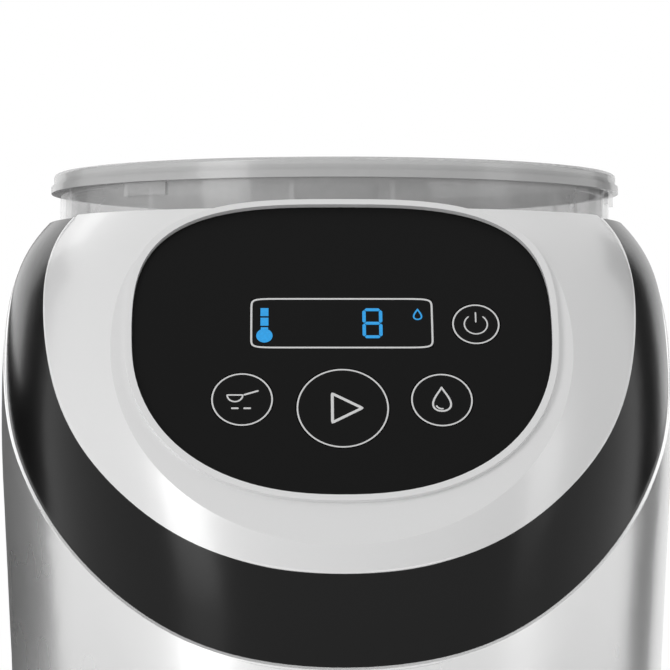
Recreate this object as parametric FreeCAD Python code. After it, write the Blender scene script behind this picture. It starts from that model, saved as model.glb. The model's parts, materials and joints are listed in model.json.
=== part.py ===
"""Baby formula maker: an oval countertop machine with a powder container, tank, funnel and bottle bay.

Millimetres, +Z up, front towards -Y. The origin is on the table under the middle of the body.
Every piece is one function, and main() writes one STEP file for each node.
"""
import FreeCAD
import Part
import functools
import math
import os

# Overall form
TABLE_TO_DECK = 358.0
BODY_REACH = 165.0
WIDEST_HEIGHT = 290.0
NOSE_HEIGHT = 216.0
FOOT_TAPER_SIDE = 15.0
FOOT_TAPER_FRONT = 10.0
SHOULDER_OVERHANG = 13.0
SHOULDER_RISE = 84.0
BROW_RISE = 162.0
BACK_FULLNESS = 2.3
FRONT_SWELL = 0.3
SWELL_SPREAD = 38.0
OVAL_POINTS = 24
OVAL_LEVELS = (0.0, 0.15, 0.3, 0.45, 0.6, 0.7, 0.78, 0.85, 0.91, 0.96, 1.0)
SHELL_WALL = 2.6
SHELL_SEAM_SLOPE = 0.8
BEZEL_SEAM_SLOPE = 1.08
BAND_DEPTH = 28.0
BAND_INSET = 0.9

# Powder container and its well
CONTAINER_RADIUS = 96.6
CONTAINER_WALL = 2.0
CONTAINER_HEIGHT = 70.3
CONTAINER_BACK = 5.0
CONTAINER_FOOT = 2.0
COLLAR_RADIUS = 11.5
COLLAR_WALL = 1.6
COLLAR_RISE = 14.0
LUG_ANGLES = (-41, 79, 199)
LUG_SPAN = 10.8
LUG_PROUD = 1.4
LUG_HEIGHT = 4.4
LUG_BELOW = 7.2
LID_PLATE = 2.2
SKIRT_DROP = 2.6
SKIRT_GAP = 0.5
SKIRT_WALL = 1.7
BEAD_PROUD = 1.0
BEAD_HEIGHT = 2.4
SEAL_THICKNESS = 1.2
GRIP_RADIUS = 32.0
GRIP_DEPTH = 8.0
GRIP_BAR = 12.0
GRIP_WALL = 1.8
STIRRER_SHORT = 7.0
TOWER_RADIUS = 13.7
TOWER_WALL = 1.7
SLEEVE_RADIUS = 22.5
SLEEVE_WALL = 1.2
SLEEVE_RISE = 30.0
VANES = 8
VANE_THICKNESS = 2.0
VANE_KNEE = 42.0
VANE_PEAK = 24.0
VANE_SINK = 22.0
WELL_CLEARANCE = 1.0
DECK_CLEARANCE = 0.6
WELL_WALL = 2.0
WELL_FLOOR = 3.0
WELL_DEPTH = 55.0
DECK_LIP = 4.4
SEAT_GAP = 0.3

# Control panel
PANEL_TILT = 32.0
PANEL_HALF_WIDTH = 65.5
PANEL_UPPER = 48.0
PANEL_LOWER = 59.0
PANEL_TOP_FULLNESS = 3.1
PANEL_BOTTOM_FULLNESS = 2.3
PANEL_THICKNESS = 2.0
PANEL_FIT = 0.15
PANEL_CENTRE_Y = -123.5
PANEL_CENTRE_Z = 317.5
RIM_WIDTH = 2.2
RIM_HEIGHT = 1.6
LEDGE_WIDTH = 4.0
FACE_WALL = 3.6
RIM_ROOT = 10.0
BOARD_BACK = 9.0
BOARD_WIDTH = 94.0
BOARD_HEIGHT = 61.0
BOARD_ACROSS = 3.0
BOARD_UP = -7.5
BOARD_PILLARS = ((-40.0, 14.0), (24.0, 19.5), (-40.0, -35.0), (40.0, -35.0))
SWITCH_HEIGHT = 3.4

# Bottle bay, tray and funnel
BAY_HALF_WIDTH = 57.0
BAY_BACK = -42.0
BAY_TOP = 208.0
LINER_WALL = 2.2
BAY_CORNER = 26.0
ARCH_CORNER = 12.0
COVER_DROP = 38.0
COVER_GAP = 0.8
COVER_WALL = 2.4
ARCH_RISE = 8.0
RAIL_WIDTH = 5.0
RAIL_FRONT = -140.0
CARRIER_LOW = 196.0
CARRIER_THICKNESS = 3.0
CARRIER_SHORT = 6.0
FUNNEL_RADIUS = 40.0
FUNNEL_WALL = 1.8
FUNNEL_OUTLET = 11.0
FUNNEL_DROP = 36.0
FUNNEL_Y = -98.0
CHUTE_RADIUS = 11.0
CHUTE_WALL = 1.8
CHUTE_REACH = 75.0
TRAY_TOP = 22.0
TRAY_WALL = 2.2
TRAY_GAP = 0.6
GRILLE_THICKNESS = 2.0
GRILLE_GAP = 0.3
SLOT_ROWS = 4
SLOT_PITCH = 9.0
SLOT_WIDTH = 4.6
STAND_RADIUS = 38.0
STAND_Y = -98.0
STAND_TRAVEL = 60.0
STAND_SLOT_X = 15.0
STAND_RISER = 22.0
SENSOR_RADIUS = 5.0
SENSOR_Z = 128.0
NOZZLE_RADIUS = 4.0
NOZZLE_X = -22.0
NOZZLE_Y = -84.0
NOZZLE_HEIGHT = 220.0

# Water tank
TANK_FRONT = 111.0
TANK_WALL = 2.4
TANK_FLOOR_HEIGHT = 26.0
TANK_TOP = 350.0
TANK_INSET = 0.0
TANK_GAP = 0.5
PORT_RADIUS = 9.0
PORT_Y = 138.0
PORT_DEPTH = 14.0
FILL_HALF_WIDTH = 38.0
FILL_FRONT = 118.0
FILL_BACK = 139.0
FLAP_LAP = 4.0
FLAP_THICKNESS = 2.6
HINGE_Y = 146.0
HINGE_RISE = 3.5
HINGE_RADIUS = 3.1
HINGE_EAR = 4.0
PIN_RADIUS = 1.2
PIN_CLEARANCE = 0.06
VALVE_RADIUS = 8.0
VALVE_BORE = 5.5
VALVE_DROP = 11.4
VALVE_FLOOR = 2.0
VALVE_RISE = 4.6
POPPET_RADIUS = 4.6
STEM_RADIUS = 1.4
SPRING_WIRE = 0.35
SPRING_RADIUS = 3.2
SPRING_TURNS = 5
FLOAT_X = 40.0
FLOAT_Y = 124.0
FLOAT_RADIUS = 9.0
FLOAT_HEIGHT = 14.0
FLOAT_TRAVEL = 18.0
FLOAT_ROD = 3.0
REAR_WALL_THICKNESS = 2.5
HOSE_RADIUS = 3.4
HOSE_BORE = 2.2
HOSE_STUB = 7.0
WATER_LINE = 15.5
PUMP_X = -62.0
PUMP_Y = 70.0
PUMP_RADIUS = 17.0
PUMP_LOW = 10.0
PUMP_HEIGHT = 52.0
PORT_LENGTH = 8.0
HEATER_X = 50.0
HEATER_WIDTH = 40.0
HEATER_DEPTH = 30.0
HEATER_LOW = 10.0
HEATER_HEIGHT = 110.0
HEATER_INLET_RISE = 92.0
HOSE_BEND_Y = 20.0
MAIN_BOARD_LOW = 120.0
MAIN_BOARD_HEIGHT = 110.0
MAIN_BOARD_LEFT = -80.0
MAIN_BOARD_WIDTH = 72.0
MAIN_BOARD_PILLAR = 5.0
BOARD_THICKNESS = 1.6

# Drive
GEAR_MODULE = 1.0
DRIVE_TEETH = 60
PINION_TEETH = 15
GEAR_WIDTH = 8.0
GEAR_BACKLASH = 0.25
SHAFT_RADIUS = 4.0
SHAFT_CLEARANCE = 0.06
HEX_FLAT = 12.0
HEX_CLEARANCE = 0.3
HEX_LOW = 302.2
HEX_TOP = 332.0
GEAR_LOW = 286.0
GEAR_HOLE = 5.0
BUSH_LENGTH = 10.0
BUSH_WALL = 3.0
CASE_FLOOR = 3.0
CASE_WALL = 2.0
CASE_GAP = 2.0
CASE_BOSS = 4.5
CASE_SCREW_ANGLES = (0, 180, 230, 310)
MOTOR_RADIUS = 15.0
MOTOR_LENGTH = 40.0
MOTOR_SHAFT = 2.5
MOTOR_BOSS = 2.6

# Base
FOOT_HEIGHT = 3.5
FOOT_RADIUS = 9.0
FOOT_X = 62.0
FOOT_Y = 105.0
BASE_RIM = 12.0
BASE_FLOOR = 3.0
BASE_INSET = 1.0
TONGUE_RISE = 6.0
BOSS_RADIUS = 4.0
BOSS_TOP = 20.0
BOSS_X = 76.0
BOSS_YS = (-70.0, 20.0, 88.0)
SCREW_HOLE = 1.6
SCREW_HEAD = 2.9
SCREW_SINK = 2.0
INLET_X = 42.0
INLET_WIDTH = 21.0
INLET_HEIGHT = 11.0
INLET_LOW = 13.0
INLET_FRONT = 128.0

# Keys: name, across, up the panel, radius
KEYS = (
    ("power_key", 42.0, 3.3, 7.5),
    ("powder_key", -31.0, -24.4, 9.6),
    ("start_key", 0.0, -27.5, 14.3),
    ("volume_key", 30.6, -24.6, 9.6),
)
KEY_TRAVEL = 0.6
KEY_GAP = 0.3
KEY_FLANGE = 1.2
WINDOW_WIDTH = 56.7
WINDOW_HEIGHT = 17.9
WINDOW_UP = 3.7

# Worked out from the sizes above
WELL_RADIUS = CONTAINER_RADIUS + WELL_CLEARANCE
DECK_HALF_WIDTH = WELL_RADIUS + DECK_LIP
BODY_HALF_WIDTH = DECK_HALF_WIDTH + SHOULDER_OVERHANG
DECK_UNDERSIDE = TABLE_TO_DECK - SHELL_WALL
WELL_FLOOR_TOP = DECK_UNDERSIDE - WELL_DEPTH
TILT = math.radians(PANEL_TILT)
OUTWARD = FreeCAD.Vector(0, -math.cos(TILT), math.sin(TILT))
UPWARD = FreeCAD.Vector(0, math.sin(TILT), math.cos(TILT))
ACROSS = FreeCAD.Vector(1, 0, 0)
PANEL_CENTRE = FreeCAD.Vector(0, PANEL_CENTRE_Y, PANEL_CENTRE_Z)
SHELL_SEAM = (NOSE_HEIGHT, SHELL_SEAM_SLOPE)
BEZEL_SEAM = (NOSE_HEIGHT + BAND_DEPTH, BEZEL_SEAM_SLOPE)
BAY_OUTER = BAY_HALF_WIDTH + LINER_WALL
BAY_FLOOR = FOOT_HEIGHT + BASE_FLOOR + LINER_WALL
CHUTE_Y = CONTAINER_BACK - CHUTE_REACH
CONTAINER_BASE = WELL_FLOOR_TOP + SEAT_GAP
CONTAINER_TOP = CONTAINER_BASE + CONTAINER_HEIGHT
STAND_LOW = TRAY_TOP + 0.4
MOTOR_Y = CONTAINER_BACK + GEAR_MODULE * (DRIVE_TEETH + PINION_TEETH) / 2
VALVE_BASE = TANK_FLOOR_HEIGHT - VALVE_DROP
VALVE_LOW = VALVE_BASE - 1.0
HINGE_Z = TANK_TOP + HINGE_RISE
LARGE = 600.0
TINY = 0.01


def vec(x, y, z):
    return FreeCAD.Vector(x, y, z)


def box(x0, x1, y0, y1, z0, z1):
    return Part.makeBox(x1 - x0, y1 - y0, z1 - z0, vec(x0, y0, z0))


def rod(radius, z0, z1, x=0.0, y=0.0):
    return Part.makeCylinder(radius, z1 - z0, vec(x, y, z0))


def tube(outer, inner, z0, z1, x=0.0, y=0.0):
    return rod(outer, z0, z1, x, y).cut(rod(inner, z0 - 1, z1 + 1, x, y))


def cone(radius0, radius1, z0, z1, x=0.0, y=0.0):
    return Part.makeCone(radius0, radius1, z1 - z0, vec(x, y, z0))


def fuse(first, *others):
    """One solid from pieces that touch or overlap."""
    return first.fuse(list(others)).removeSplitter() if others else first


def solids_in(*shapes):
    """A group of separate solids in one node."""
    return Part.makeCompound([solid for shape in shapes for solid in shape.Solids])


def largest(shape):
    """The largest solid of a cut, without the crumbs beside it."""
    return max(shape.Solids, key=lambda solid: solid.Volume)


def rounded_box(x0, x1, y0, y1, z0, z1, radius):
    """A box whose four upright edges are round."""
    solid = box(x0, x1, y0, y1, z0, z1)
    upright = [e for e in solid.Edges if abs(e.tangentAt(e.FirstParameter).z) > 0.9]
    return solid.makeFillet(radius, upright)


# Oval body

def side_reach(z):
    """Half the body's width at a height: a taper to the foot, and a rounded shoulder above."""
    if z <= WIDEST_HEIGHT:
        drop = (WIDEST_HEIGHT - z) / WIDEST_HEIGHT
        return BODY_HALF_WIDTH - FOOT_TAPER_SIDE * drop ** 1.25
    rise = (z - WIDEST_HEIGHT) / SHOULDER_RISE
    return BODY_HALF_WIDTH * (1 - rise ** 4) ** 0.25


def front_reach(z):
    """How far the body comes forward at a height: a taper below the nose, and a brow above."""
    if z <= NOSE_HEIGHT:
        drop = (NOSE_HEIGHT - z) / NOSE_HEIGHT
        return BODY_REACH - FOOT_TAPER_FRONT * drop ** 1.5
    rise = (z - NOSE_HEIGHT) / BROW_RISE
    return BODY_REACH * (1 - rise ** 2.6) ** (1 / 2.6)


def back_reach(z):
    """How far the body goes back at a height: nearly upright, with a rounded shoulder."""
    if z <= WIDEST_HEIGHT:
        drop = (WIDEST_HEIGHT - z) / WIDEST_HEIGHT
        return BODY_REACH - FOOT_TAPER_FRONT * drop ** 1.5
    rise = (z - WIDEST_HEIGHT) / SHOULDER_RISE
    return BODY_REACH * (1 - rise ** 4) ** 0.25


def front_fullness(z):
    """Exponent of the front's outline: 2 is an ellipse, and more is squarer."""
    swell = math.exp(-(((z - WIDEST_HEIGHT) / SWELL_SPREAD) ** 2))
    return BACK_FULLNESS + FRONT_SWELL * swell


def oval_curve(z, inset):
    """Superellipse outline of the body at a height, moved inwards by inset, through formula points."""
    side = side_reach(z) - inset
    points = []
    for step in range(OVAL_POINTS):
        angle = math.pi / 2 + 2 * math.pi * step / OVAL_POINTS
        c, s = math.cos(angle), math.sin(angle)
        fullness = front_fullness(z) if s < 0 else BACK_FULLNESS
        reach = (front_reach(z) if s < 0 else back_reach(z)) - inset
        x = side * math.copysign(abs(c) ** (2 / fullness), c) if abs(c) > TINY else 0.0
        y = reach * math.copysign(abs(s) ** (2 / fullness), s) if abs(s) > TINY else 0.0
        points.append(vec(x, y, z))
    curve = Part.BSplineCurve()
    curve.interpolate(Points=points, PeriodicFlag=True, Parameters=[float(step) for step in range(OVAL_POINTS + 1)])
    return curve


@functools.lru_cache(maxsize=None)
def whole_oval(inset):
    """The body's full outer form, inset by a wall: one smooth surface skinned over its outlines, and two caps."""
    heights = [FOOT_HEIGHT + (TABLE_TO_DECK - FOOT_HEIGHT) * level for level in OVAL_LEVELS]
    outlines = [oval_curve(z, inset) for z in heights]
    uprights = []
    for index in range(1, outlines[0].NbPoles + 1):
        upright = Part.BSplineCurve()
        upright.interpolate(Points=[outline.getPole(index) for outline in outlines], Parameters=heights)
        uprights.append(upright)
    across, along = outlines[0], uprights[0]
    skin = Part.BSplineSurface()
    skin.buildFromPolesMultsKnots([upright.getPoles() for upright in uprights],
                                  across.getMultiplicities(), along.getMultiplicities(),
                                  across.getKnots(), along.getKnots(), True, False, 3, 3)
    side = skin.toShape()
    caps = [Part.Face(Part.Wire([edge])) for edge in side.Edges if edge.BoundBox.ZLength < TINY]
    shell = Part.makeShell([side] + caps)
    shell.sewShape()
    solid = Part.Solid(shell)
    solid.fix(TINY / 100, TINY / 100, TINY / 10)
    return solid


def oval(inset, low, high):
    """The body's outer form, inset by a wall, between two heights."""
    form = whole_oval(inset)
    if low <= FOOT_HEIGHT and high >= TABLE_TO_DECK:
        return form
    return form.common(box(-LARGE, LARGE, -LARGE, LARGE, max(low, 0), high))


def seam_side(seam, front):
    """A large block in front of, or behind, a seam plane: its height at the nose, and its slope to the back."""
    seam_z, slope = seam
    block = box(-LARGE, LARGE, -LARGE, LARGE, 0, LARGE * 2)
    if not front:
        block = box(-LARGE, LARGE, -LARGE, LARGE, -LARGE * 2, 0)
    block.rotate(vec(0, 0, 0), vec(1, 0, 0), math.degrees(math.atan(slope)))
    block.translate(vec(0, -BODY_REACH, seam_z))
    return block


def hollow_oval(inset, wall, low, high):
    """Wall of the oval form, open at its low end and closed at the deck."""
    outer = oval(inset, low, high)
    inner = oval(inset + wall, FOOT_HEIGHT, min(high, DECK_UNDERSIDE))
    return outer.cut(inner)


def well_hole():
    """The hole for the container through the deck, and the wider space for its well below."""
    upper = rod(WELL_RADIUS + DECK_CLEARANCE, WELL_FLOOR_TOP, TABLE_TO_DECK + 5, 0, CONTAINER_BACK)
    lower = rod(WELL_RADIUS + WELL_WALL + SEAT_GAP, 0, DECK_UNDERSIDE, 0, CONTAINER_BACK)
    return upper.fuse(lower)


# Control panel frame of reference

def on_panel(across, up, out=0.0):
    """A point of the tilted panel: across, up the slope, and out of its face."""
    return PANEL_CENTRE + ACROSS * across + UPWARD * up + OUTWARD * out


def panel_outline(grow):
    """Closed outline of the panel in its plane: a squarer top half and a rounder bottom half."""
    count = 32
    points = []
    for step in range(count):
        angle = 2 * math.pi * step / count
        c, s = math.cos(angle), math.sin(angle)
        fullness = PANEL_TOP_FULLNESS if s > 0 else PANEL_BOTTOM_FULLNESS
        height = (PANEL_UPPER if s > 0 else PANEL_LOWER) + grow
        x = (PANEL_HALF_WIDTH + grow) * math.copysign(abs(c) ** (2 / fullness), c)
        y = height * math.copysign(abs(s) ** (2 / fullness), s)
        points.append(on_panel(x, y))
    curve = Part.BSplineCurve()
    curve.interpolate(Points=points, PeriodicFlag=True)
    return Part.Wire([curve.toShape()])


def panel_prism(grow, back, out):
    """The panel's outline carried from back behind its face to out in front of it."""
    face = Part.Face(panel_outline(grow))
    face.translate(OUTWARD * -back)
    return face.extrude(OUTWARD * (back + out))


def panel_block(out):
    """Everything in front of the plane that lies out of the panel's face."""
    block = box(-LARGE, LARGE, -LARGE, LARGE, 0, LARGE)
    block.rotate(vec(0, 0, 0), vec(1, 0, 0), 90 - PANEL_TILT)
    block.translate(on_panel(0, 0, out))
    return block


def panel_cylinder(across, up, radius, back, out):
    return Part.makeCylinder(radius, back + out, on_panel(across, up, -back), OUTWARD)


def panel_box(across, up, width, height, back, out):
    """A block on the panel: width across, height up, from back behind the face to out before it."""
    corners = [(-0.5, -0.5), (0.5, -0.5), (0.5, 0.5), (-0.5, 0.5)]
    points = [on_panel(across + width * i, up + height * j, -back) for i, j in corners]
    face = Part.Face(Part.makePolygon(points + points[:1]))
    return face.extrude(OUTWARD * (back + out))


# Housings

def outer_shell():
    """Silver lower casing: front, sides and rear deck, with the bottle bay's arch cut in its front."""
    shell = hollow_oval(0, SHELL_WALL, BASE_RIM, TABLE_TO_DECK)
    shell = shell.common(seam_side(SHELL_SEAM, False))
    shell = shell.cut(box(-LARGE, LARGE, TANK_FRONT - TANK_GAP, LARGE, 0, LARGE))
    shell = shell.cut(well_hole())
    return largest(shell.cut(bay_arch(BAY_HALF_WIDTH, BAY_TOP)))


def bay_arch(half_width, top):
    """The bay's front opening, with rounded upper corners, carried back to the bay's middle."""
    arch = box(-half_width, half_width, -LARGE, BAY_BACK - 20, -TINY, top)
    upper = [e for e in arch.Edges
             if abs(e.tangentAt(e.FirstParameter).y) > 0.9 and e.CenterOfMass.z > top - 1]
    return arch.makeFillet(ARCH_CORNER, upper)


def band_ring():
    """Black hoop that runs round the body between the two slanted seams."""
    ring = hollow_oval(BAND_INSET, SHELL_WALL, BASE_RIM, TABLE_TO_DECK - BAND_INSET)
    ring = ring.common(seam_side(SHELL_SEAM, True)).common(seam_side(BEZEL_SEAM, False))
    return largest(ring.cut(well_hole()))


def front_bezel():
    """Silver brow that frames the panel and makes the front of the deck."""
    outer = oval(0, BASE_RIM, TABLE_TO_DECK).common(seam_side(BEZEL_SEAM, True))
    inner = oval(SHELL_WALL, FOOT_HEIGHT, DECK_UNDERSIDE).cut(panel_block(-FACE_WALL))
    rim = panel_prism(RIM_WIDTH, RIM_ROOT, RIM_HEIGHT).cut(panel_prism(PANEL_FIT, RIM_ROOT + 1, RIM_HEIGHT + 1))
    rim = rim.common(seam_side(BEZEL_SEAM, True))
    face = outer.cut(panel_block(0)).cut(inner)
    body = face.fuse(rim).cut(panel_prism(PANEL_FIT, PANEL_THICKNESS, LARGE))
    body = body.cut(panel_prism(-LEDGE_WIDTH, RIM_ROOT + 8, 1))
    return largest(body.cut(well_hole()))


def base_pan():
    """Black underside with a rim that locates the casing, and bosses for its screws."""
    skirt = oval(BASE_INSET, FOOT_HEIGHT, BASE_RIM)
    skirt = skirt.cut(oval(BASE_INSET + SHELL_WALL, FOOT_HEIGHT + BASE_FLOOR, BASE_RIM + 1))
    tongue = oval(SHELL_WALL + SEAT_GAP, FOOT_HEIGHT + BASE_FLOOR, BASE_RIM + TONGUE_RISE)
    tongue = tongue.cut(oval(SHELL_WALL * 2 + SEAT_GAP, FOOT_HEIGHT, BASE_RIM + TONGUE_RISE + 1))
    tongue = tongue.cut(box(-LARGE, LARGE, TANK_FRONT - TANK_GAP - REAR_WALL_THICKNESS - 0.5, LARGE, 0, LARGE))
    tongue = tongue.cut(box(-BAY_OUTER - 1, BAY_OUTER + 1, -LARGE, 0, 0, LARGE))
    floor_top = FOOT_HEIGHT + BASE_FLOOR
    pan = fuse(skirt, tongue, *[rod(BOSS_RADIUS, floor_top, BOSS_TOP, x, y) for x, y in boss_places()])
    pan = pan.cut(box(-BAY_HALF_WIDTH, BAY_HALF_WIDTH, -LARGE, BAY_BACK, BAY_FLOOR, LARGE))
    for x, y in boss_places():
        pan = pan.cut(rod(SCREW_HOLE, 0, BOSS_TOP + 1, x, y))
        pan = pan.cut(rod(SCREW_HEAD + 0.4, 0, FOOT_HEIGHT + SCREW_SINK, x, y))
    return pan


def boss_places():
    return [(side * BOSS_X, y) for side in (-1, 1) for y in BOSS_YS]


def base_screws():
    """Screws that come up through the pan's bosses."""
    screws = []
    for x, y in boss_places():
        head = rod(SCREW_HEAD, FOOT_HEIGHT + 0.3, FOOT_HEIGHT + SCREW_SINK, x, y)
        slot = box(x - 0.5, x + 0.5, y - SCREW_HEAD, y + SCREW_HEAD, 0, FOOT_HEIGHT + 1.1)
        shank = rod(SCREW_HOLE, FOOT_HEIGHT + SCREW_SINK, BOSS_TOP - 0.5, x, y)
        screws.append(head.cut(slot).fuse(shank))
    return solids_in(*screws)


def rubber_feet():
    """Four rubber feet, each with a bevelled lower edge."""
    feet = []
    for x in (-FOOT_X, FOOT_X):
        for y in (-FOOT_Y, FOOT_Y):
            foot = rod(FOOT_RADIUS, 0, FOOT_HEIGHT, x, y)
            lower = [e for e in foot.Edges if e.CenterOfMass.z < 0.1 and len(e.Vertexes) == 1]
            feet.append(foot.makeChamfer(0.8, lower[:1]))
    return solids_in(*feet)


def rear_wall():
    """Upright wall that closes the body in front of the tank, with a cut for the water joint."""
    low = FOOT_HEIGHT + BASE_FLOOR
    wall = oval(SHELL_WALL + BASE_INSET + SEAT_GAP, low, DECK_UNDERSIDE - SEAT_GAP)
    front = TANK_FRONT - TANK_GAP - REAR_WALL_THICKNESS
    wall = wall.common(box(-LARGE, LARGE, front, TANK_FRONT - TANK_GAP, low, LARGE))
    return largest(wall.cut(Part.makeCylinder(HOSE_RADIUS + 0.6, 20, vec(0, front - 5, WATER_LINE), vec(0, 1, 0))))


def tank_dock():
    """Black step at the back that the tank stands on, with the socket its valve plugs into."""
    front = TANK_FRONT - TANK_GAP
    top = TANK_FLOOR_HEIGHT - SEAT_GAP
    dock = oval(BASE_INSET, BASE_RIM, top).common(box(-LARGE, LARGE, front, LARGE, 0, LARGE))
    hollow = oval(BASE_INSET + SHELL_WALL, FOOT_HEIGHT, top - SHELL_WALL)
    dock = dock.cut(hollow.common(box(-LARGE, LARGE, front + SHELL_WALL, LARGE, 0, LARGE)))
    dock = dock.cut(rod(PORT_RADIUS, 0, LARGE, 0, PORT_Y))
    socket_low = top - PORT_DEPTH
    cup = tube(PORT_RADIUS + 2.4, PORT_RADIUS, socket_low, top, 0, PORT_Y)
    cup = cup.fuse([rod(PORT_RADIUS + 2.4, socket_low - 2, socket_low, 0, PORT_Y),
                    rod(1.5, socket_low - 1, VALVE_LOW - SEAT_GAP, 0, PORT_Y)])
    spigot_end = front - REAR_WALL_THICKNESS - 5
    spigot = Part.makeCylinder(HOSE_RADIUS, PORT_Y - PORT_RADIUS - spigot_end, vec(0, spigot_end, WATER_LINE), vec(0, 1, 0))
    bore = Part.makeCylinder(HOSE_BORE, PORT_Y - spigot_end, vec(0, spigot_end - 1, WATER_LINE), vec(0, 1, 0))
    dock = dock.fuse([cup, spigot]).cut(bore).cut(dock_inlet_block(0))
    return largest(dock)


def dock_inlet_block(trim):
    """The block of the appliance inlet in the dock's back face, trimmed all round."""
    half = INLET_WIDTH / 2 - trim
    return box(INLET_X - half, INLET_X + half, INLET_FRONT + trim, LARGE, INLET_LOW + trim, INLET_LOW + INLET_HEIGHT - trim)


def power_inlet():
    """Two-pin appliance inlet in the dock's back face."""
    middle = INLET_LOW + INLET_HEIGHT / 2
    block = oval(BASE_INSET + 0.4, BASE_RIM, TANK_FLOOR_HEIGHT).common(dock_inlet_block(0))
    mouth = box(INLET_X - 8, INLET_X + 8, INLET_FRONT + 4, LARGE, middle - 4, middle + 4)
    mouth = mouth.makeFillet(2.0, [e for e in mouth.Edges if abs(e.tangentAt(e.FirstParameter).y) > 0.9])
    pins = [Part.makeCylinder(1.15, 11, vec(INLET_X + dx, INLET_FRONT + 3, middle), vec(0, 1, 0)) for dx in (-4.3, 4.3)]
    return largest(block.cut(mouth).fuse(pins))


# Control panel

def control_panel():
    """Black face plate, with holes for its four keys and its window."""
    plate = panel_prism(0, PANEL_THICKNESS, 0)
    for _, across, up, radius in KEYS:
        plate = plate.cut(panel_cylinder(across, up, radius + KEY_GAP, LARGE / 4, 5))
    return plate.cut(panel_box(0, WINDOW_UP, WINDOW_WIDTH + 2 * PANEL_FIT, WINDOW_HEIGHT + 2 * PANEL_FIT, 5, 5))


def display_window():
    return panel_box(0, WINDOW_UP, WINDOW_WIDTH, WINDOW_HEIGHT, PANEL_THICKNESS, 0)


def display_module():
    """Liquid crystal cell in its frame, behind the window and soldered to the key board."""
    cell = panel_box(0, WINDOW_UP, WINDOW_WIDTH + 4, WINDOW_HEIGHT + 4, BOARD_BACK, -PANEL_THICKNESS - TINY)
    recess = panel_box(0, WINDOW_UP, WINDOW_WIDTH, WINDOW_HEIGHT, PANEL_THICKNESS + 1, 0)
    return cell.cut(recess)


def key_solid(across, up, radius):
    """Round key with a flange that the panel retains, and a stem to its switch."""
    cap = panel_cylinder(across, up, radius, PANEL_THICKNESS, 0)
    flange = panel_cylinder(across, up, radius + KEY_FLANGE, PANEL_THICKNESS + SEAT_GAP + 1.0, -PANEL_THICKNESS - SEAT_GAP)
    neck = panel_cylinder(across, up, radius, PANEL_THICKNESS + SEAT_GAP, -PANEL_THICKNESS)
    stem = panel_cylinder(across, up, 2.0, BOARD_BACK - SWITCH_HEIGHT - SEAT_GAP - KEY_TRAVEL, -PANEL_THICKNESS - SEAT_GAP)
    return fuse(cap, neck, flange, stem)


def key_board():
    """Circuit board behind the panel, on four pillars that stand on the panel's back."""
    board = panel_box(BOARD_ACROSS, BOARD_UP, BOARD_WIDTH, BOARD_HEIGHT, BOARD_BACK + 1.6, -BOARD_BACK)
    for across, up in BOARD_PILLARS:
        board = board.fuse(panel_cylinder(across, up, 2.0, BOARD_BACK, -PANEL_THICKNESS))
    return board


def switch_domes():
    """Tactile switches, one under each key."""
    switches = []
    for _, across, up, _ in KEYS:
        case = panel_box(across, up, 6.0, 6.0, BOARD_BACK, -BOARD_BACK + SWITCH_HEIGHT - 0.4)
        plunger = panel_cylinder(across, up, 1.6, BOARD_BACK - SWITCH_HEIGHT + 0.4, -BOARD_BACK + SWITCH_HEIGHT)
        switches.append(case.fuse(plunger))
    return solids_in(*switches)


# Bottle bay

def bay_liner():
    """Black lining of the bottle bay: rounded back corners, drawer rails, and a roof with two holes."""
    low = FOOT_HEIGHT + BASE_FLOOR
    outer = bay_block(BAY_OUTER, LINER_WALL, low, BAY_TOP + LINER_WALL, BAY_CORNER + LINER_WALL)
    inner = bay_block(BAY_HALF_WIDTH, 0, low + LINER_WALL, BAY_TOP, BAY_CORNER)
    in_pan = oval(BASE_INSET + SHELL_WALL + SEAT_GAP, FOOT_HEIGHT, BASE_RIM + SEAT_GAP)
    in_shell = oval(SHELL_WALL + SEAT_GAP, BASE_RIM + SEAT_GAP, TABLE_TO_DECK)
    liner = outer.common(in_pan).fuse(outer.common(in_shell)).cut(inner)
    for side in (-1, 1):
        edges = sorted((side * BAY_HALF_WIDTH, side * (BAY_HALF_WIDTH - RAIL_WIDTH)))
        rail = box(edges[0] - 0.2, edges[1] + 0.2, RAIL_FRONT, BAY_BACK - 14, CARRIER_LOW - SEAT_GAP - 3, CARRIER_LOW - SEAT_GAP)
        liner = liner.fuse(rail)
    liner = liner.cut(rod(CHUTE_RADIUS + CHUTE_WALL + 0.2, BAY_TOP - 5, BAY_TOP + 9, 0, CHUTE_Y))
    liner = liner.cut(rod(NOZZLE_RADIUS + 0.15, BAY_TOP - 5, BAY_TOP + 9, NOZZLE_X, NOZZLE_Y))
    for x in (-STAND_SLOT_X, STAND_SLOT_X):
        slot_low = STAND_LOW + 9
        liner = liner.cut(box(x - 2.5, x + 2.5, BAY_BACK - 1, BAY_BACK + 5, slot_low, slot_low + 12 + STAND_TRAVEL))
    return largest(liner.cut(Part.makeCylinder(SENSOR_RADIUS + 0.15, 9, vec(0, BAY_BACK - 4, SENSOR_Z), vec(0, 1, 0))))


def bay_block(half_width, back, low, high, corner):
    """The bay's plan, square in front and rounded at its back, between two heights."""
    block = box(-half_width, half_width, -LARGE, BAY_BACK + back, low, high)
    rear = [e for e in block.Edges
            if abs(e.tangentAt(e.FirstParameter).z) > 0.9 and e.CenterOfMass.y > -LARGE / 2]
    return block.makeFillet(corner, rear)


def bottle_sensor():
    """Round lens in the bay's back wall that sees the bottle."""
    lens = Part.makeCylinder(SENSOR_RADIUS, LINER_WALL + 3, vec(0, BAY_BACK - 0.8, SENSOR_Z), vec(0, 1, 0))
    flange = Part.makeCylinder(SENSOR_RADIUS + 2, 1.5, vec(0, BAY_BACK + LINER_WALL, SENSOR_Z), vec(0, 1, 0))
    return lens.fuse(flange)


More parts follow.
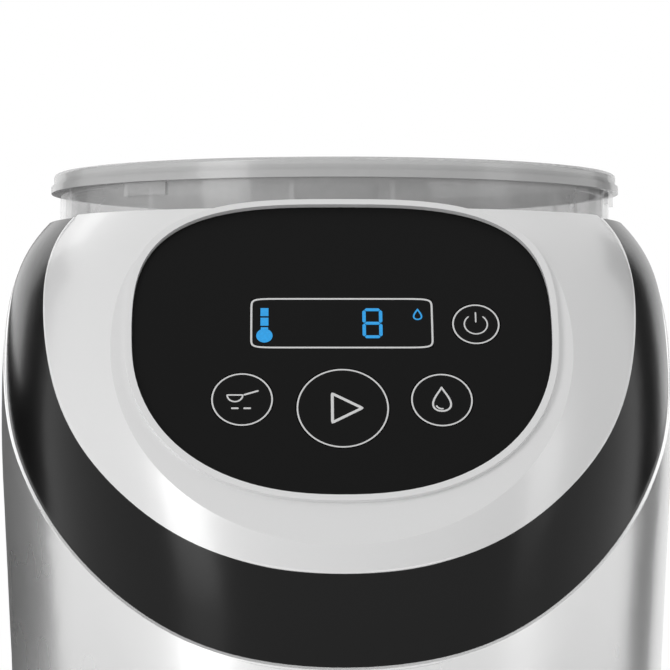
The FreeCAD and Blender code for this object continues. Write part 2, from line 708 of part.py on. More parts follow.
def drip_tray():
    """Black tray that slides out of the bay, with its front flush with the casing."""
    low = FOOT_HEIGHT + BASE_FLOOR + LINER_WALL + SEAT_GAP
    plan = BAY_HALF_WIDTH - TRAY_GAP
    outer = bay_block(plan, -TRAY_GAP, low, TRAY_TOP, BAY_CORNER - TRAY_GAP).common(oval(0, FOOT_HEIGHT, TABLE_TO_DECK))
    inner = bay_block(plan - TRAY_WALL, -TRAY_GAP - TRAY_WALL, low + TRAY_WALL, TRAY_TOP + 1, BAY_CORNER - TRAY_GAP - TRAY_WALL)
    inner = inner.common(oval(TRAY_WALL, FOOT_HEIGHT, TABLE_TO_DECK))
    shelf = bay_block(plan - 1, -TRAY_GAP - 1, TRAY_TOP - GRILLE_THICKNESS, TRAY_TOP + 1, BAY_CORNER - TRAY_GAP - 1)
    shelf = shelf.common(oval(1.0, FOOT_HEIGHT, TABLE_TO_DECK))
    tray = outer.cut(inner).cut(shelf)
    return largest(tray)


def drip_grille():
    """Slotted plate that lies in the tray's top and carries the bottle or its stand."""
    plan = BAY_HALF_WIDTH - TRAY_GAP - 1 - GRILLE_GAP
    plate = bay_block(plan, -TRAY_GAP - 1 - GRILLE_GAP, TRAY_TOP - GRILLE_THICKNESS + TINY, TRAY_TOP, BAY_CORNER - TRAY_GAP - 1 - GRILLE_GAP)
    plate = plate.common(oval(1.0 + GRILLE_GAP, FOOT_HEIGHT, TABLE_TO_DECK))
    for row in range(-SLOT_ROWS, SLOT_ROWS + 1):
        x = row * SLOT_PITCH
        for y0, y1 in ((-138, -104), (-96, -62)):
            slot = box(x - SLOT_WIDTH / 2, x + SLOT_WIDTH / 2, y0, y1, 0, TRAY_TOP + 1)
            plate = plate.cut(slot)
    return largest(plate)


def bottle_stand():
    """Shelf for short bottles, whose lugs slide in the slots of the bay's back wall."""
    disc = rod(STAND_RADIUS, STAND_LOW, STAND_LOW + 4, 0, STAND_Y)
    rim = tube(STAND_RADIUS, STAND_RADIUS - 2, STAND_LOW + 3, STAND_LOW + 6, 0, STAND_Y)
    arm = box(-22, 22, STAND_Y, BAY_BACK - 1.0, STAND_LOW, STAND_LOW + 4)
    riser = box(-22, 22, BAY_BACK - 3.5, BAY_BACK - 1.0, STAND_LOW, STAND_LOW + STAND_RISER)
    stand = fuse(disc, rim, arm, riser)
    stand = stand.cut(rod(STAND_RADIUS - 2, STAND_LOW + 4, STAND_LOW + 6, 0, STAND_Y))
    for x in (-STAND_SLOT_X, STAND_SLOT_X):
        neck = box(x - 2.2, x + 2.2, BAY_BACK - 2, BAY_BACK + LINER_WALL + 2.5, STAND_LOW + 10, STAND_LOW + 20)
        head_y = BAY_BACK + LINER_WALL + SEAT_GAP
        stand = stand.fuse([neck, box(x - 4.4, x + 4.4, head_y, head_y + 2.2, STAND_LOW + 10, STAND_LOW + 20)])
    for radius in (14, 26):
        stand = stand.cut(tube(radius + 1.2, radius - 1.2, STAND_LOW + 3.2, STAND_LOW + 9, 0, STAND_Y))
    return stand


# Funnel drawer

def funnel_cover():
    """Silver curved front of the funnel drawer, flush with the casing, with an arched lower edge."""
    half = BAY_HALF_WIDTH - COVER_GAP
    wall = oval(0, BASE_RIM, TABLE_TO_DECK).cut(oval(COVER_WALL, FOOT_HEIGHT, DECK_UNDERSIDE))
    low, high = BAY_TOP - COVER_DROP, BAY_TOP - COVER_GAP
    prism = box(-half, half, -LARGE, -BODY_REACH / 3, low, high)
    upper = [e for e in prism.Edges
             if abs(e.tangentAt(e.FirstParameter).y) > 0.9 and e.CenterOfMass.z > high - 1]
    prism = prism.makeFillet(ARCH_CORNER - COVER_GAP, upper)
    rise = ARCH_RISE
    radius = (half * half + rise * rise) / (2 * rise)
    arch = Part.makeCylinder(radius, LARGE, vec(0, -LARGE, low + rise - radius), vec(0, 1, 0))
    return largest(wall.common(prism).cut(arch))


def funnel_carrier():
    """Black sliding plate behind the cover, with the round seat that the funnel drops into."""
    half = BAY_HALF_WIDTH - COVER_GAP
    plate = bay_block(half, -CARRIER_SHORT, CARRIER_LOW, CARRIER_LOW + CARRIER_THICKNESS, BAY_CORNER - COVER_GAP)
    plate = plate.common(oval(COVER_WALL, FOOT_HEIGHT, TABLE_TO_DECK))
    return largest(plate.cut(rod(FUNNEL_RADIUS + FUNNEL_WALL + SEAT_GAP, 0, LARGE, 0, FUNNEL_Y)))


def funnel():
    """Mixing funnel: flange, cone and spout."""
    top = CARRIER_LOW + CARRIER_THICKNESS + SEAT_GAP
    outlet = FUNNEL_OUTLET
    shoulder = top - 3.0
    waist = top - FUNNEL_DROP + 8
    tip = top - FUNNEL_DROP
    outer = cone(outlet + FUNNEL_WALL, FUNNEL_RADIUS + FUNNEL_WALL, waist, shoulder, 0, FUNNEL_Y)
    outer = outer.fuse([rod(FUNNEL_RADIUS + FUNNEL_WALL, shoulder, top + 3, 0, FUNNEL_Y),
                        rod(FUNNEL_RADIUS + 5, top, top + 2, 0, FUNNEL_Y),
                        rod(outlet + FUNNEL_WALL, tip, waist, 0, FUNNEL_Y)])
    inner = cone(outlet, FUNNEL_RADIUS, waist, shoulder, 0, FUNNEL_Y)
    inner = inner.fuse([rod(FUNNEL_RADIUS, shoulder, top + 5, 0, FUNNEL_Y), rod(outlet, tip - 1, waist, 0, FUNNEL_Y)])
    return outer.cut(inner)


def powder_chute():
    """Tube that drops powder from the well's floor through the bay's roof."""
    return tube(CHUTE_RADIUS + CHUTE_WALL, CHUTE_RADIUS, BAY_TOP - 1, WELL_FLOOR_TOP - WELL_FLOOR, 0, CHUTE_Y)


def water_nozzle():
    """Nozzle that hangs through the bay's roof, with a barb for its hose."""
    body = rod(NOZZLE_RADIUS + 2, BAY_TOP + LINER_WALL, NOZZLE_HEIGHT + 5, NOZZLE_X, NOZZLE_Y)
    tip = rod(NOZZLE_RADIUS, BAY_TOP - 2, BAY_TOP + LINER_WALL, NOZZLE_X, NOZZLE_Y)
    barb = Part.makeCylinder(HOSE_RADIUS, 12, vec(NOZZLE_X, NOZZLE_Y, NOZZLE_HEIGHT), vec(0, 1, 0))
    drill = rod(1.2, BAY_TOP - 5, NOZZLE_HEIGHT, NOZZLE_X, NOZZLE_Y)
    cross = Part.makeCylinder(HOSE_BORE, 14, vec(NOZZLE_X, NOZZLE_Y, NOZZLE_HEIGHT), vec(0, 1, 0))
    return fuse(body, tip, barb).cut(drill).cut(cross)


# Powder container

def powder_seat():
    """Dark well under the container, with holes for the drive and for the powder."""
    cup = rod(WELL_RADIUS + WELL_WALL, WELL_FLOOR_TOP - WELL_FLOOR, DECK_UNDERSIDE, 0, CONTAINER_BACK)
    cup = cup.cut(rod(WELL_RADIUS, WELL_FLOOR_TOP, LARGE, 0, CONTAINER_BACK))
    cup = cup.cut(rod(SHAFT_RADIUS + SHAFT_CLEARANCE, 0, LARGE, 0, CONTAINER_BACK))
    return cup.cut(rod(CHUTE_RADIUS, 0, LARGE, 0, CHUTE_Y))


def powder_container():
    """Clear drum with a raised collar round the drive, an outlet in its floor, and lugs under its rim."""
    y = CONTAINER_BACK
    floor_low = CONTAINER_BASE + CONTAINER_FOOT
    floor_top = floor_low + CONTAINER_WALL
    drum = tube(CONTAINER_RADIUS, CONTAINER_RADIUS - CONTAINER_WALL, CONTAINER_BASE, CONTAINER_TOP, 0, y)
    drum = drum.fuse([rod(CONTAINER_RADIUS - 1, floor_low, floor_top, 0, y),
                      rod(COLLAR_RADIUS, floor_low, floor_top + COLLAR_RISE, 0, y)])
    for angle in LUG_ANGLES:
        drum = drum.fuse(lug(angle))
    drum = drum.cut(rod(COLLAR_RADIUS - COLLAR_WALL, 0, LARGE, 0, y))
    return drum.cut(rod(CHUTE_RADIUS - 1, 0, floor_top + 1, 0, CHUTE_Y))


def lug(angle):
    """One locking lug outside the container's wall, centred at an angle from the front."""
    low = CONTAINER_TOP - LUG_BELOW
    ring = tube(CONTAINER_RADIUS + LUG_PROUD, CONTAINER_RADIUS - 0.5, low, low + LUG_HEIGHT, 0, CONTAINER_BACK)
    half = math.radians(LUG_SPAN / 2)
    far = CONTAINER_RADIUS * 2
    side, reach = far * math.sin(half), -far * math.cos(half)
    wedge = [vec(0, 0, 0), vec(-side, reach, 0), vec(side, reach, 0)]
    wedge = Part.Face(Part.makePolygon(wedge + wedge[:1])).extrude(vec(0, 0, LARGE))
    wedge.rotate(vec(0, 0, 0), vec(0, 0, 1), angle)
    wedge.translate(vec(0, CONTAINER_BACK, 0))
    return ring.common(wedge)


def container_lid():
    """Round lid with a beaded skirt, an inner plug, and a recessed grip bar."""
    y = CONTAINER_BACK
    under = CONTAINER_TOP + SEAL_THICKNESS + 2 * SEAT_GAP
    top = under + LID_PLATE
    skirt_outer = CONTAINER_RADIUS + SKIRT_GAP + SKIRT_WALL
    lid = rod(skirt_outer, CONTAINER_TOP - SKIRT_DROP, top, 0, y)
    rim = [e for e in lid.Edges if e.CenterOfMass.z > top - 0.1 and len(e.Vertexes) == 1]
    lid = lid.makeFillet(1.2, rim[:1])
    lid = lid.fuse(rod(skirt_outer + BEAD_PROUD, CONTAINER_TOP - SKIRT_DROP, CONTAINER_TOP - SKIRT_DROP + BEAD_HEIGHT, 0, y))
    lid = lid.cut(rod(CONTAINER_RADIUS + SKIRT_GAP, 0, under, 0, y))
    plug_outer = CONTAINER_RADIUS - CONTAINER_WALL - 0.8
    lid = lid.fuse(tube(plug_outer, plug_outer - 1.8, CONTAINER_TOP - 3.5, under + 0.5, 0, y))
    pan = rod(GRIP_RADIUS + GRIP_WALL, top - GRIP_DEPTH - GRIP_WALL, top - 0.5, 0, y)
    lid = lid.fuse(pan).cut(rod(GRIP_RADIUS, top - GRIP_DEPTH, top + 1, 0, y))
    bar = box(-GRIP_RADIUS - 0.5, GRIP_RADIUS + 0.5, y - GRIP_BAR / 2, y + GRIP_BAR / 2, top - GRIP_DEPTH - 0.5, top)
    return largest(lid.fuse(bar).removeSplitter())


def lid_seal():
    """Rubber ring between the container's rim and the lid."""
    low = CONTAINER_TOP + SEAT_GAP
    return tube(CONTAINER_RADIUS + 0.3, CONTAINER_RADIUS - CONTAINER_WALL - 0.3, low, low + SEAL_THICKNESS, 0, CONTAINER_BACK)


def hexagon(flat, z0, z1):
    """A hexagonal prism on the drive axis, flat to flat."""
    radius = flat / math.sqrt(3)
    points = [vec(radius * math.cos(math.radians(60 * i)), CONTAINER_BACK + radius * math.sin(math.radians(60 * i)), z0)
              for i in range(6)]
    return Part.Face(Part.makePolygon(points + points[:1])).extrude(vec(0, 0, z1 - z0))


def stirring_wheel():
    """Stirrer: a tower over the drive, a sleeve round it, and tall pointed vanes that sweep the floor."""
    y = CONTAINER_BACK
    low = CONTAINER_BASE + CONTAINER_FOOT + CONTAINER_WALL + SEAT_GAP
    top = CONTAINER_TOP - STIRRER_SHORT
    wheel = rod(TOWER_RADIUS, low, top, 0, y)
    for index in range(VANES):
        wheel = wheel.fuse(vane(360.0 * (index + 0.5) / VANES, low, top))
    wheel = wheel.fuse(tube(SLEEVE_RADIUS, SLEEVE_RADIUS - SLEEVE_WALL, low + SLEEVE_RISE, top, 0, y))
    wheel = wheel.cut(rod(COLLAR_RADIUS + 0.5, low - 1, low + COLLAR_RISE + 1.0, 0, y))
    wheel = wheel.cut(rod(TOWER_RADIUS - TOWER_WALL, HEX_TOP + 4.0, top + 1, 0, y))
    return wheel.cut(hexagon(HEX_FLAT + 2 * HEX_CLEARANCE, low, HEX_TOP + 2.0)).removeSplitter()


def vane(angle, low, top):
    """One upright vane: high and pointed near the tower, and low out to the wall."""
    reach = CONTAINER_RADIUS - CONTAINER_WALL - 3.0
    outline = [(TOWER_RADIUS - 2, low), (reach, low), (reach, low + 7), (VANE_KNEE, low + 16),
               (VANE_PEAK, top), (SLEEVE_RADIUS - 0.6, top - VANE_SINK), (TOWER_RADIUS - 2, top - VANE_SINK)]
    points = [vec(r, -VANE_THICKNESS / 2, z) for r, z in outline]
    blade = Part.Face(Part.makePolygon(points + points[:1])).extrude(vec(0, VANE_THICKNESS, 0))
    blade.rotate(vec(0, 0, 0), vec(0, 0, 1), angle)
    blade.translate(vec(0, CONTAINER_BACK, 0))
    return blade


# Drive under the well

def involute(angle):
    return math.tan(angle) - angle


def gear_solid(teeth, bore, z0, z1, x, y, phase):
    """Spur gear with involute flanks, backlash taken from each tooth, and its first tooth turned by phase."""
    pressure = math.radians(20)
    pitch = GEAR_MODULE * teeth / 2
    base = pitch * math.cos(pressure)
    tip = pitch + GEAR_MODULE
    root = pitch - 1.25 * GEAR_MODULE
    start = max(base, root) + TINY
    half_tooth = math.pi / (2 * teeth) - GEAR_BACKLASH / (2 * pitch)
    flank = []
    for step in range(5):
        radius = start + (tip - start) * step / 4
        flank.append((radius, half_tooth + involute(pressure) - involute(math.acos(base / radius))))
    points = []
    for tooth in range(teeth):
        middle = 2 * math.pi * tooth / teeth + phase
        sides = [(root, -flank[0][1])] + [(r, -a) for r, a in flank]
        sides += [(r, a) for r, a in reversed(flank)] + [(root, flank[0][1])]
        points += [vec(x + r * math.cos(middle + a), y + r * math.sin(middle + a), z0) for r, a in sides]
    blank = Part.Face(Part.makePolygon(points + points[:1])).extrude(vec(0, 0, z1 - z0))
    return blank.cut(rod(bore, z0 - 1, z1 + 1, x, y))


def drive_gear():
    """Large gear pressed on the drive shaft, lightened by six holes."""
    gear = gear_solid(DRIVE_TEETH, SHAFT_RADIUS, GEAR_LOW, GEAR_LOW + GEAR_WIDTH, 0, CONTAINER_BACK, 0)
    middle = GEAR_MODULE * DRIVE_TEETH / 4 + 1
    for index in range(6):
        angle = math.radians(60 * index)
        gear = gear.cut(rod(GEAR_HOLE, 0, LARGE, middle * math.cos(angle), CONTAINER_BACK + middle * math.sin(angle)))
    return gear


def motor_pinion():
    """Pinion on the motor's shaft, in mesh with the large gear."""
    phase = -math.pi / 2 + math.pi / PINION_TEETH
    if DRIVE_TEETH % 4:
        phase += math.pi * (DRIVE_TEETH % 4) / 2 / PINION_TEETH
    return gear_solid(PINION_TEETH, MOTOR_SHAFT, GEAR_LOW, GEAR_LOW + GEAR_WIDTH, 0, MOTOR_Y, phase)


def drive_shaft():
    return rod(SHAFT_RADIUS, GEAR_LOW - BUSH_LENGTH, HEX_LOW, 0, CONTAINER_BACK)


def drive_coupling():
    """Hexagonal dog on the shaft's end that turns the stirrer."""
    dog = hexagon(HEX_FLAT, HEX_LOW, HEX_TOP)
    return dog.common(cone(HEX_FLAT + 10, 2.0, HEX_LOW, HEX_TOP + 2.4, 0, CONTAINER_BACK))


def drive_bush():
    low = GEAR_LOW - BUSH_LENGTH
    return tube(SHAFT_RADIUS + BUSH_WALL, SHAFT_RADIUS + SHAFT_CLEARANCE, low, GEAR_LOW - 0.4, 0, CONTAINER_BACK)


def shaft_seal():
    low = WELL_FLOOR_TOP
    return tube(SHAFT_RADIUS + 4.5, SHAFT_RADIUS + SHAFT_CLEARANCE * 3, low, low + 0.8, 0, CONTAINER_BACK)


def gear_case():
    """Black cover under the gears, screwed to the well's underside."""
    low = GEAR_LOW - CASE_FLOOR - 1.0
    high = WELL_FLOOR_TOP - WELL_FLOOR
    big = GEAR_MODULE * (DRIVE_TEETH / 2 + 1) + CASE_GAP
    small = GEAR_MODULE * (PINION_TEETH / 2 + 1) + CASE_GAP

    def plan(grow, z0, z1):
        return fuse(rod(big + grow, z0, z1, 0, CONTAINER_BACK), rod(small + grow, z0, z1, 0, MOTOR_Y))

    case = plan(CASE_WALL, low, high)
    for x, y in case_screw_places():
        case = case.fuse(rod(CASE_BOSS, low, high, x, y))
    case = case.cut(plan(0, low + CASE_FLOOR, high + 1))
    for x, y in case_screw_places():
        case = case.cut(rod(SCREW_HOLE, 0, LARGE, x, y))
    case = case.cut(rod(SHAFT_RADIUS + BUSH_WALL, 0, LARGE, 0, CONTAINER_BACK))
    return largest(case.cut(rod(MOTOR_SHAFT + MOTOR_BOSS + SEAT_GAP, 0, LARGE, 0, MOTOR_Y)))


def case_screw_places():
    """Screw axes in the case's rim, clear of the motor."""
    big = GEAR_MODULE * (DRIVE_TEETH / 2 + 1) + CASE_GAP + CASE_WALL + SCREW_HOLE
    angles = [math.radians(a) for a in CASE_SCREW_ANGLES]
    return [(big * math.cos(a), CONTAINER_BACK + big * math.sin(a)) for a in angles]


def case_screws():
    """Screws that hold the gear case and the well together."""
    low = GEAR_LOW - CASE_FLOOR - 1.0
    high = WELL_FLOOR_TOP - WELL_FLOOR
    return solids_in(*[fuse(rod(SCREW_HEAD, low - 2, low, x, y), rod(SCREW_HOLE, low, high, x, y))
                       for x, y in case_screw_places()])


def gear_motor():
    """Can motor under the gear case."""
    top = GEAR_LOW - CASE_FLOOR - 1.0
    can = rod(MOTOR_RADIUS, top - MOTOR_LENGTH, top, 0, MOTOR_Y)
    tail = top - MOTOR_LENGTH
    can = can.fuse([rod(MOTOR_SHAFT + MOTOR_BOSS, top - 1, top + CASE_FLOOR, 0, MOTOR_Y),
                    rod(MOTOR_RADIUS / 2, tail - 4, tail, 0, MOTOR_Y)])
    for dx in (-MOTOR_RADIUS * 0.7, MOTOR_RADIUS * 0.7):
        can = can.fuse(box(dx - 1.2, dx + 1.2, MOTOR_Y - 0.3, MOTOR_Y + 0.3, tail - 8, tail))
    return can.cut(rod(MOTOR_SHAFT + SHAFT_CLEARANCE, top - MOTOR_LENGTH / 2, LARGE, 0, MOTOR_Y))


def motor_shaft():
    top = GEAR_LOW - CASE_FLOOR - 1.0
    return rod(MOTOR_SHAFT, top - MOTOR_LENGTH / 2 + 1, GEAR_LOW + GEAR_WIDTH, 0, MOTOR_Y)


# Water tank

def water_tank():
    """Clear tank at the back: the oval's rear slice, with a filling hole, hinge ears and a valve hole."""
    outer = oval(TANK_INSET, TANK_FLOOR_HEIGHT, TANK_TOP).common(box(-LARGE, LARGE, TANK_FRONT, LARGE, 0, LARGE))
    inner = oval(TANK_INSET + TANK_WALL, TANK_FLOOR_HEIGHT + TANK_WALL, TANK_TOP - TANK_WALL)
    inner = inner.common(box(-LARGE, LARGE, TANK_FRONT + TANK_WALL, LARGE, 0, LARGE))
    tank = largest(outer.cut(inner))
    tank = tank.cut(box(-FILL_HALF_WIDTH, FILL_HALF_WIDTH, FILL_FRONT, FILL_BACK, TANK_TOP - 10, TANK_TOP + 10))
    tank = tank.cut(rod(VALVE_RADIUS, 0, TANK_FLOOR_HEIGHT + 10, 0, PORT_Y))
    for side in (-1, 1):
        ear = hinge_rod(HINGE_RADIUS, side * ear_inner(), side * (ear_inner() + HINGE_EAR))
        x0, x1 = sorted((side * ear_inner(), side * (ear_inner() + HINGE_EAR)))
        root = box(x0, x1, HINGE_Y - HINGE_RADIUS, HINGE_Y + HINGE_RADIUS, TANK_TOP - 1, HINGE_Z)
        tank = tank.fuse([ear, root])
    return tank.cut(hinge_rod(PIN_RADIUS, -LARGE, LARGE)).removeSplitter()


def ear_inner():
    """Distance from the middle to the inner face of a hinge ear."""
    return FILL_HALF_WIDTH + FLAP_LAP + SEAT_GAP


def hinge_rod(radius, x0, x1):
    """A rod on the flap's hinge axis."""
    x0, x1 = sorted((x0, x1))
    return Part.makeCylinder(radius, x1 - x0, vec(x0, HINGE_Y, HINGE_Z), vec(1, 0, 0))


def hinge_pin():
    reach = ear_inner() + HINGE_EAR
    return hinge_rod(PIN_RADIUS, -reach, reach)


def tank_flap():
    """Hinged flap over the filling hole, with a finger lip in front and one long barrel behind."""
    half = FILL_HALF_WIDTH + FLAP_LAP
    low = TANK_TOP + SEAT_GAP
    flap = box(-half, half, FILL_FRONT - FLAP_LAP, HINGE_Y, low, low + FLAP_THICKNESS)
    flap = flap.fuse([box(-half, half, FILL_FRONT - FLAP_LAP, FILL_FRONT, low, low + FLAP_THICKNESS * 2),
                      hinge_rod(HINGE_RADIUS, -half, half)])
    return flap.cut(hinge_rod(PIN_RADIUS + PIN_CLEARANCE, -LARGE, LARGE)).removeSplitter()


def valve_body():
    """Valve cup under the tank's floor, with a flange inside and a bridge that guides the poppet."""
    floor_top = TANK_FLOOR_HEIGHT + TANK_WALL
    top = floor_top + VALVE_RISE
    body = rod(VALVE_RADIUS, VALVE_BASE, top, 0, PORT_Y).fuse(rod(VALVE_RADIUS + 3, floor_top, floor_top + 2, 0, PORT_Y))
    body = body.cut(rod(VALVE_BORE, VALVE_BASE + VALVE_FLOOR, LARGE, 0, PORT_Y))
    body = body.cut(rod(STEM_RADIUS + 1.2, 0, LARGE, 0, PORT_Y))
    bridge = box(-VALVE_BORE - 0.5, VALVE_BORE + 0.5, PORT_Y - 2.2, PORT_Y + 2.2, top - 2, top)
    return body.fuse(bridge).cut(rod(STEM_RADIUS + PIN_CLEARANCE, top - 5, LARGE, 0, PORT_Y))


def valve_ring():
    """Rubber ring round the valve cup, inside the dock's socket."""
    low = VALVE_BASE + 3.0
    return tube(PORT_RADIUS - SEAT_GAP, VALVE_RADIUS, low, low + 2.0, 0, PORT_Y)


def valve_poppet():
    """Disc and stem that close the valve from above."""
    seat = VALVE_BASE + VALVE_FLOOR + SEAT_GAP
    top = TANK_FLOOR_HEIGHT + TANK_WALL + VALVE_RISE + 1.5
    return fuse(rod(STEM_RADIUS, VALVE_LOW, top, 0, PORT_Y), rod(POPPET_RADIUS, seat, seat + 1.6, 0, PORT_Y))


def biarc(start, start_way, end, end_way):
    """Two tangent arcs between two points with given directions."""
    chord = end - start
    both = start_way + end_way
    a = both.dot(both) - 4
    b = -2 * chord.dot(both)
    reach = (-b - math.sqrt(b * b - 4 * a * chord.dot(chord))) / (2 * a)
    joint = (start + start_way * reach + end - end_way * reach) * 0.5
    arcs = []
    for first, last, corner in ((start, joint, start + start_way * reach), (joint, end, end - end_way * reach)):
        middle = (first + last) * 0.5
        half = (last - first).Length / 2
        outward = (corner - middle).normalize()
        rise = half * math.tan(math.acos(half / reach) / 2)
        arcs.append(Part.Arc(first, middle + outward * rise, last).toShape())
    return arcs


def valve_spring():
    """Coil spring that holds the poppet down: one tube on biarcs of a quarter turn."""
    low = VALVE_BASE + VALVE_FLOOR + SEAT_GAP + 1.6 + SPRING_WIRE + 0.1
    high = TANK_FLOOR_HEIGHT + TANK_WALL + VALVE_RISE - 2 - SPRING_WIRE - 0.1
    steps = SPRING_TURNS * 4
    pitch = (high - low) / SPRING_TURNS
    slope = pitch / (2 * math.pi * SPRING_RADIUS)

    def place(step):
        angle = math.pi / 2 * step
        return vec(SPRING_RADIUS * math.cos(angle), PORT_Y + SPRING_RADIUS * math.sin(angle), low + pitch * step / 4)

    def way(step):
        angle = math.pi / 2 * step
        return vec(-math.sin(angle), math.cos(angle), slope).normalize()

    lead = 2 * SPRING_WIRE
    edges = [Part.LineSegment(place(0) - way(0) * lead, place(0)).toShape()]
    for step in range(steps):
        edges += biarc(place(step), way(step), place(step + 1), way(step + 1))
    edges.append(Part.LineSegment(place(steps), place(steps) + way(steps) * lead).toShape())
    print("valve spring: least gap between turns %.2f mm" % (pitch - 2 * SPRING_WIRE))
    profile = Part.Wire([Part.makeCircle(SPRING_WIRE, place(0) - way(0) * lead, way(0))])
    return Part.Wire(edges).makePipeShell([profile], True, False)


def float_guide():
    """Rod on the tank's floor, with the cap that keeps the float on it."""
    floor_top = TANK_FLOOR_HEIGHT + TANK_WALL
    top = floor_top + 1 + FLOAT_HEIGHT + FLOAT_TRAVEL + 1
    guide = rod(FLOAT_ROD, floor_top, top, FLOAT_X, FLOAT_Y)
    return fuse(guide, rod(FLOAT_ROD + 2, top, top + 2, FLOAT_X, FLOAT_Y))


def level_float():
    """Ring float that tells the machine how much water is left."""
    low = TANK_FLOOR_HEIGHT + TANK_WALL + SEAT_GAP
    return tube(FLOAT_RADIUS, FLOAT_ROD + SEAT_GAP, low, low + FLOAT_HEIGHT, FLOAT_X, FLOAT_Y)


# Water path and electronics inside

def barb(start, way):
    """Hollow hose port of one outer size, from a wall outwards."""
    outer = Part.makeCylinder(HOSE_RADIUS, PORT_LENGTH, start, way)
    return outer.cut(Part.makeCylinder(HOSE_BORE, PORT_LENGTH + 2, start - way, way))


def water_pump():
    """Upright pump on three legs, with a side inlet and a top outlet."""
    floor_top = FOOT_HEIGHT + BASE_FLOOR
    top = PUMP_LOW + PUMP_HEIGHT
    pump = rod(PUMP_RADIUS, PUMP_LOW, top, PUMP_X, PUMP_Y)
    pump = pump.fuse(rod(PUMP_RADIUS + 2, PUMP_LOW + 14, PUMP_LOW + 17, PUMP_X, PUMP_Y))
    for index in range(3):
        angle = 2 * math.pi * index / 3 + math.pi / 6
        reach = PUMP_RADIUS - 4
        leg = rod(3, floor_top, PUMP_LOW, PUMP_X + reach * math.cos(angle), PUMP_Y + reach * math.sin(angle))
        pump = pump.fuse(leg)
    pump = pump.fuse([barb(vec(PUMP_X + PUMP_RADIUS - 0.5, PUMP_Y, WATER_LINE), vec(1, 0, 0)),
                      barb(vec(PUMP_X, PUMP_Y, top), vec(0, 0, 1))])
    return largest(pump)


def water_heater():
    """Flat heating block on two feet, with a side inlet, a top outlet and its clamp bands."""
    floor_top = FOOT_HEIGHT + BASE_FLOOR
    x0, x1 = HEATER_X - HEATER_WIDTH / 2, HEATER_X + HEATER_WIDTH / 2
    y0, y1 = PUMP_Y - HEATER_DEPTH / 2, PUMP_Y + HEATER_DEPTH / 2
    top = HEATER_LOW + HEATER_HEIGHT
    heater = rounded_box(x0, x1, y0, y1, HEATER_LOW, top, 6)
    for x in (x0 + 8, x1 - 8):
        heater = heater.fuse(box(x - 3, x + 3, y0 + 4, y1 - 4, floor_top, HEATER_LOW + 1))
    for z in (HEATER_LOW + 20, top - 26):
        heater = heater.fuse(rounded_box(x0 - 1.5, x1 + 1.5, y0 - 1.5, y1 + 1.5, z, z + 6, 7))
    heater = heater.fuse([barb(vec(x0 + 0.5, PUMP_Y, HEATER_LOW + HEATER_INLET_RISE), vec(-1, 0, 0)),
                          barb(vec(HEATER_X, PUMP_Y, top), vec(0, 0, 1))])
    return largest(heater)


def hose(name, points):
    """A hose of straight runs and tangent arcs, each arc as large as its runs allow."""
    edges = []
    radii = []
    here = points[0]
    last = len(points) - 1
    for index in range(1, last):
        corner = points[index]
        back, ahead = points[index - 1] - corner, points[index + 1] - corner
        room = [back.Length - HOSE_STUB if index == 1 else back.Length * 0.45,
                ahead.Length - HOSE_STUB if index == last - 1 else ahead.Length * 0.45]
        back_way, ahead_way = back.normalize(), ahead.normalize()
        half_turn = (math.pi - back_way.getAngle(ahead_way)) / 2
        reach = min(room)
        radius = reach / math.tan(half_turn)
        radii.append(round(radius, 1))
        bisector = (back_way + ahead_way).normalize()
        centre_reach = radius / math.cos(half_turn)
        middle = corner + bisector * (centre_reach - radius)
        start, end = corner + back_way * reach, corner + ahead_way * reach
        edges += [Part.LineSegment(here, start).toShape(), Part.Arc(start, middle, end).toShape()]
        here = end
    edges.append(Part.LineSegment(here, points[last]).toShape())
    path = Part.Wire(edges)
    way = (points[1] - points[0]).normalize()
    outer, inner = [path.makePipeShell([Part.Wire([Part.makeCircle(r, points[0], way)])], True, False)
                    for r in (HOSE_RADIUS, HOSE_BORE)]
    result = largest(outer.cut(inner))
    expected = math.pi * (HOSE_RADIUS ** 2 - HOSE_BORE ** 2) * path.Length
    print("%s: radii %s mm, volume over section times length %.4f" % (name, radii, result.Volume / expected))
    return result


def tank_hose():
    start = vec(0, TANK_FRONT - TANK_GAP - REAR_WALL_THICKNESS - 5, WATER_LINE)
    pump_end = vec(PUMP_X + PUMP_RADIUS - 0.5 + PORT_LENGTH, PUMP_Y, WATER_LINE)
    return hose("tank hose", [start, vec(0, PUMP_Y, WATER_LINE), pump_end])


def pump_hose():
    start = vec(PUMP_X, PUMP_Y, PUMP_LOW + PUMP_HEIGHT + PORT_LENGTH)
    inlet = vec(HEATER_X - HEATER_WIDTH / 2 + 0.5 - PORT_LENGTH, PUMP_Y, HEATER_LOW + HEATER_INLET_RISE)
    return hose("pump hose", [start, vec(PUMP_X, PUMP_Y, inlet.z), inlet])


def heater_hose():
    start = vec(HEATER_X, PUMP_Y, HEATER_LOW + HEATER_HEIGHT + PORT_LENGTH)
    nozzle = vec(NOZZLE_X, NOZZLE_Y + 12, NOZZLE_HEIGHT)
    return hose("heater hose", [start, vec(HEATER_X, PUMP_Y, NOZZLE_HEIGHT), vec(NOZZLE_X, HOSE_BEND_Y, NOZZLE_HEIGHT), nozzle])


def main_board():
    """Main circuit board on four pillars of the rear wall."""
    wall = TANK_FRONT - TANK_GAP - REAR_WALL_THICKNESS
    back = wall - MAIN_BOARD_PILLAR
    x1 = MAIN_BOARD_LEFT + MAIN_BOARD_WIDTH
    z1 = MAIN_BOARD_LOW + MAIN_BOARD_HEIGHT
    board = box(MAIN_BOARD_LEFT, x1, back - BOARD_THICKNESS, back, MAIN_BOARD_LOW, z1)
    for x in (MAIN_BOARD_LEFT + 5, x1 - 5):
        for z in (MAIN_BOARD_LOW + 5, z1 - 5):
            board = board.fuse(Part.makeCylinder(3, MAIN_BOARD_PILLAR, vec(x, back, z), vec(0, 1, 0)))
    return board


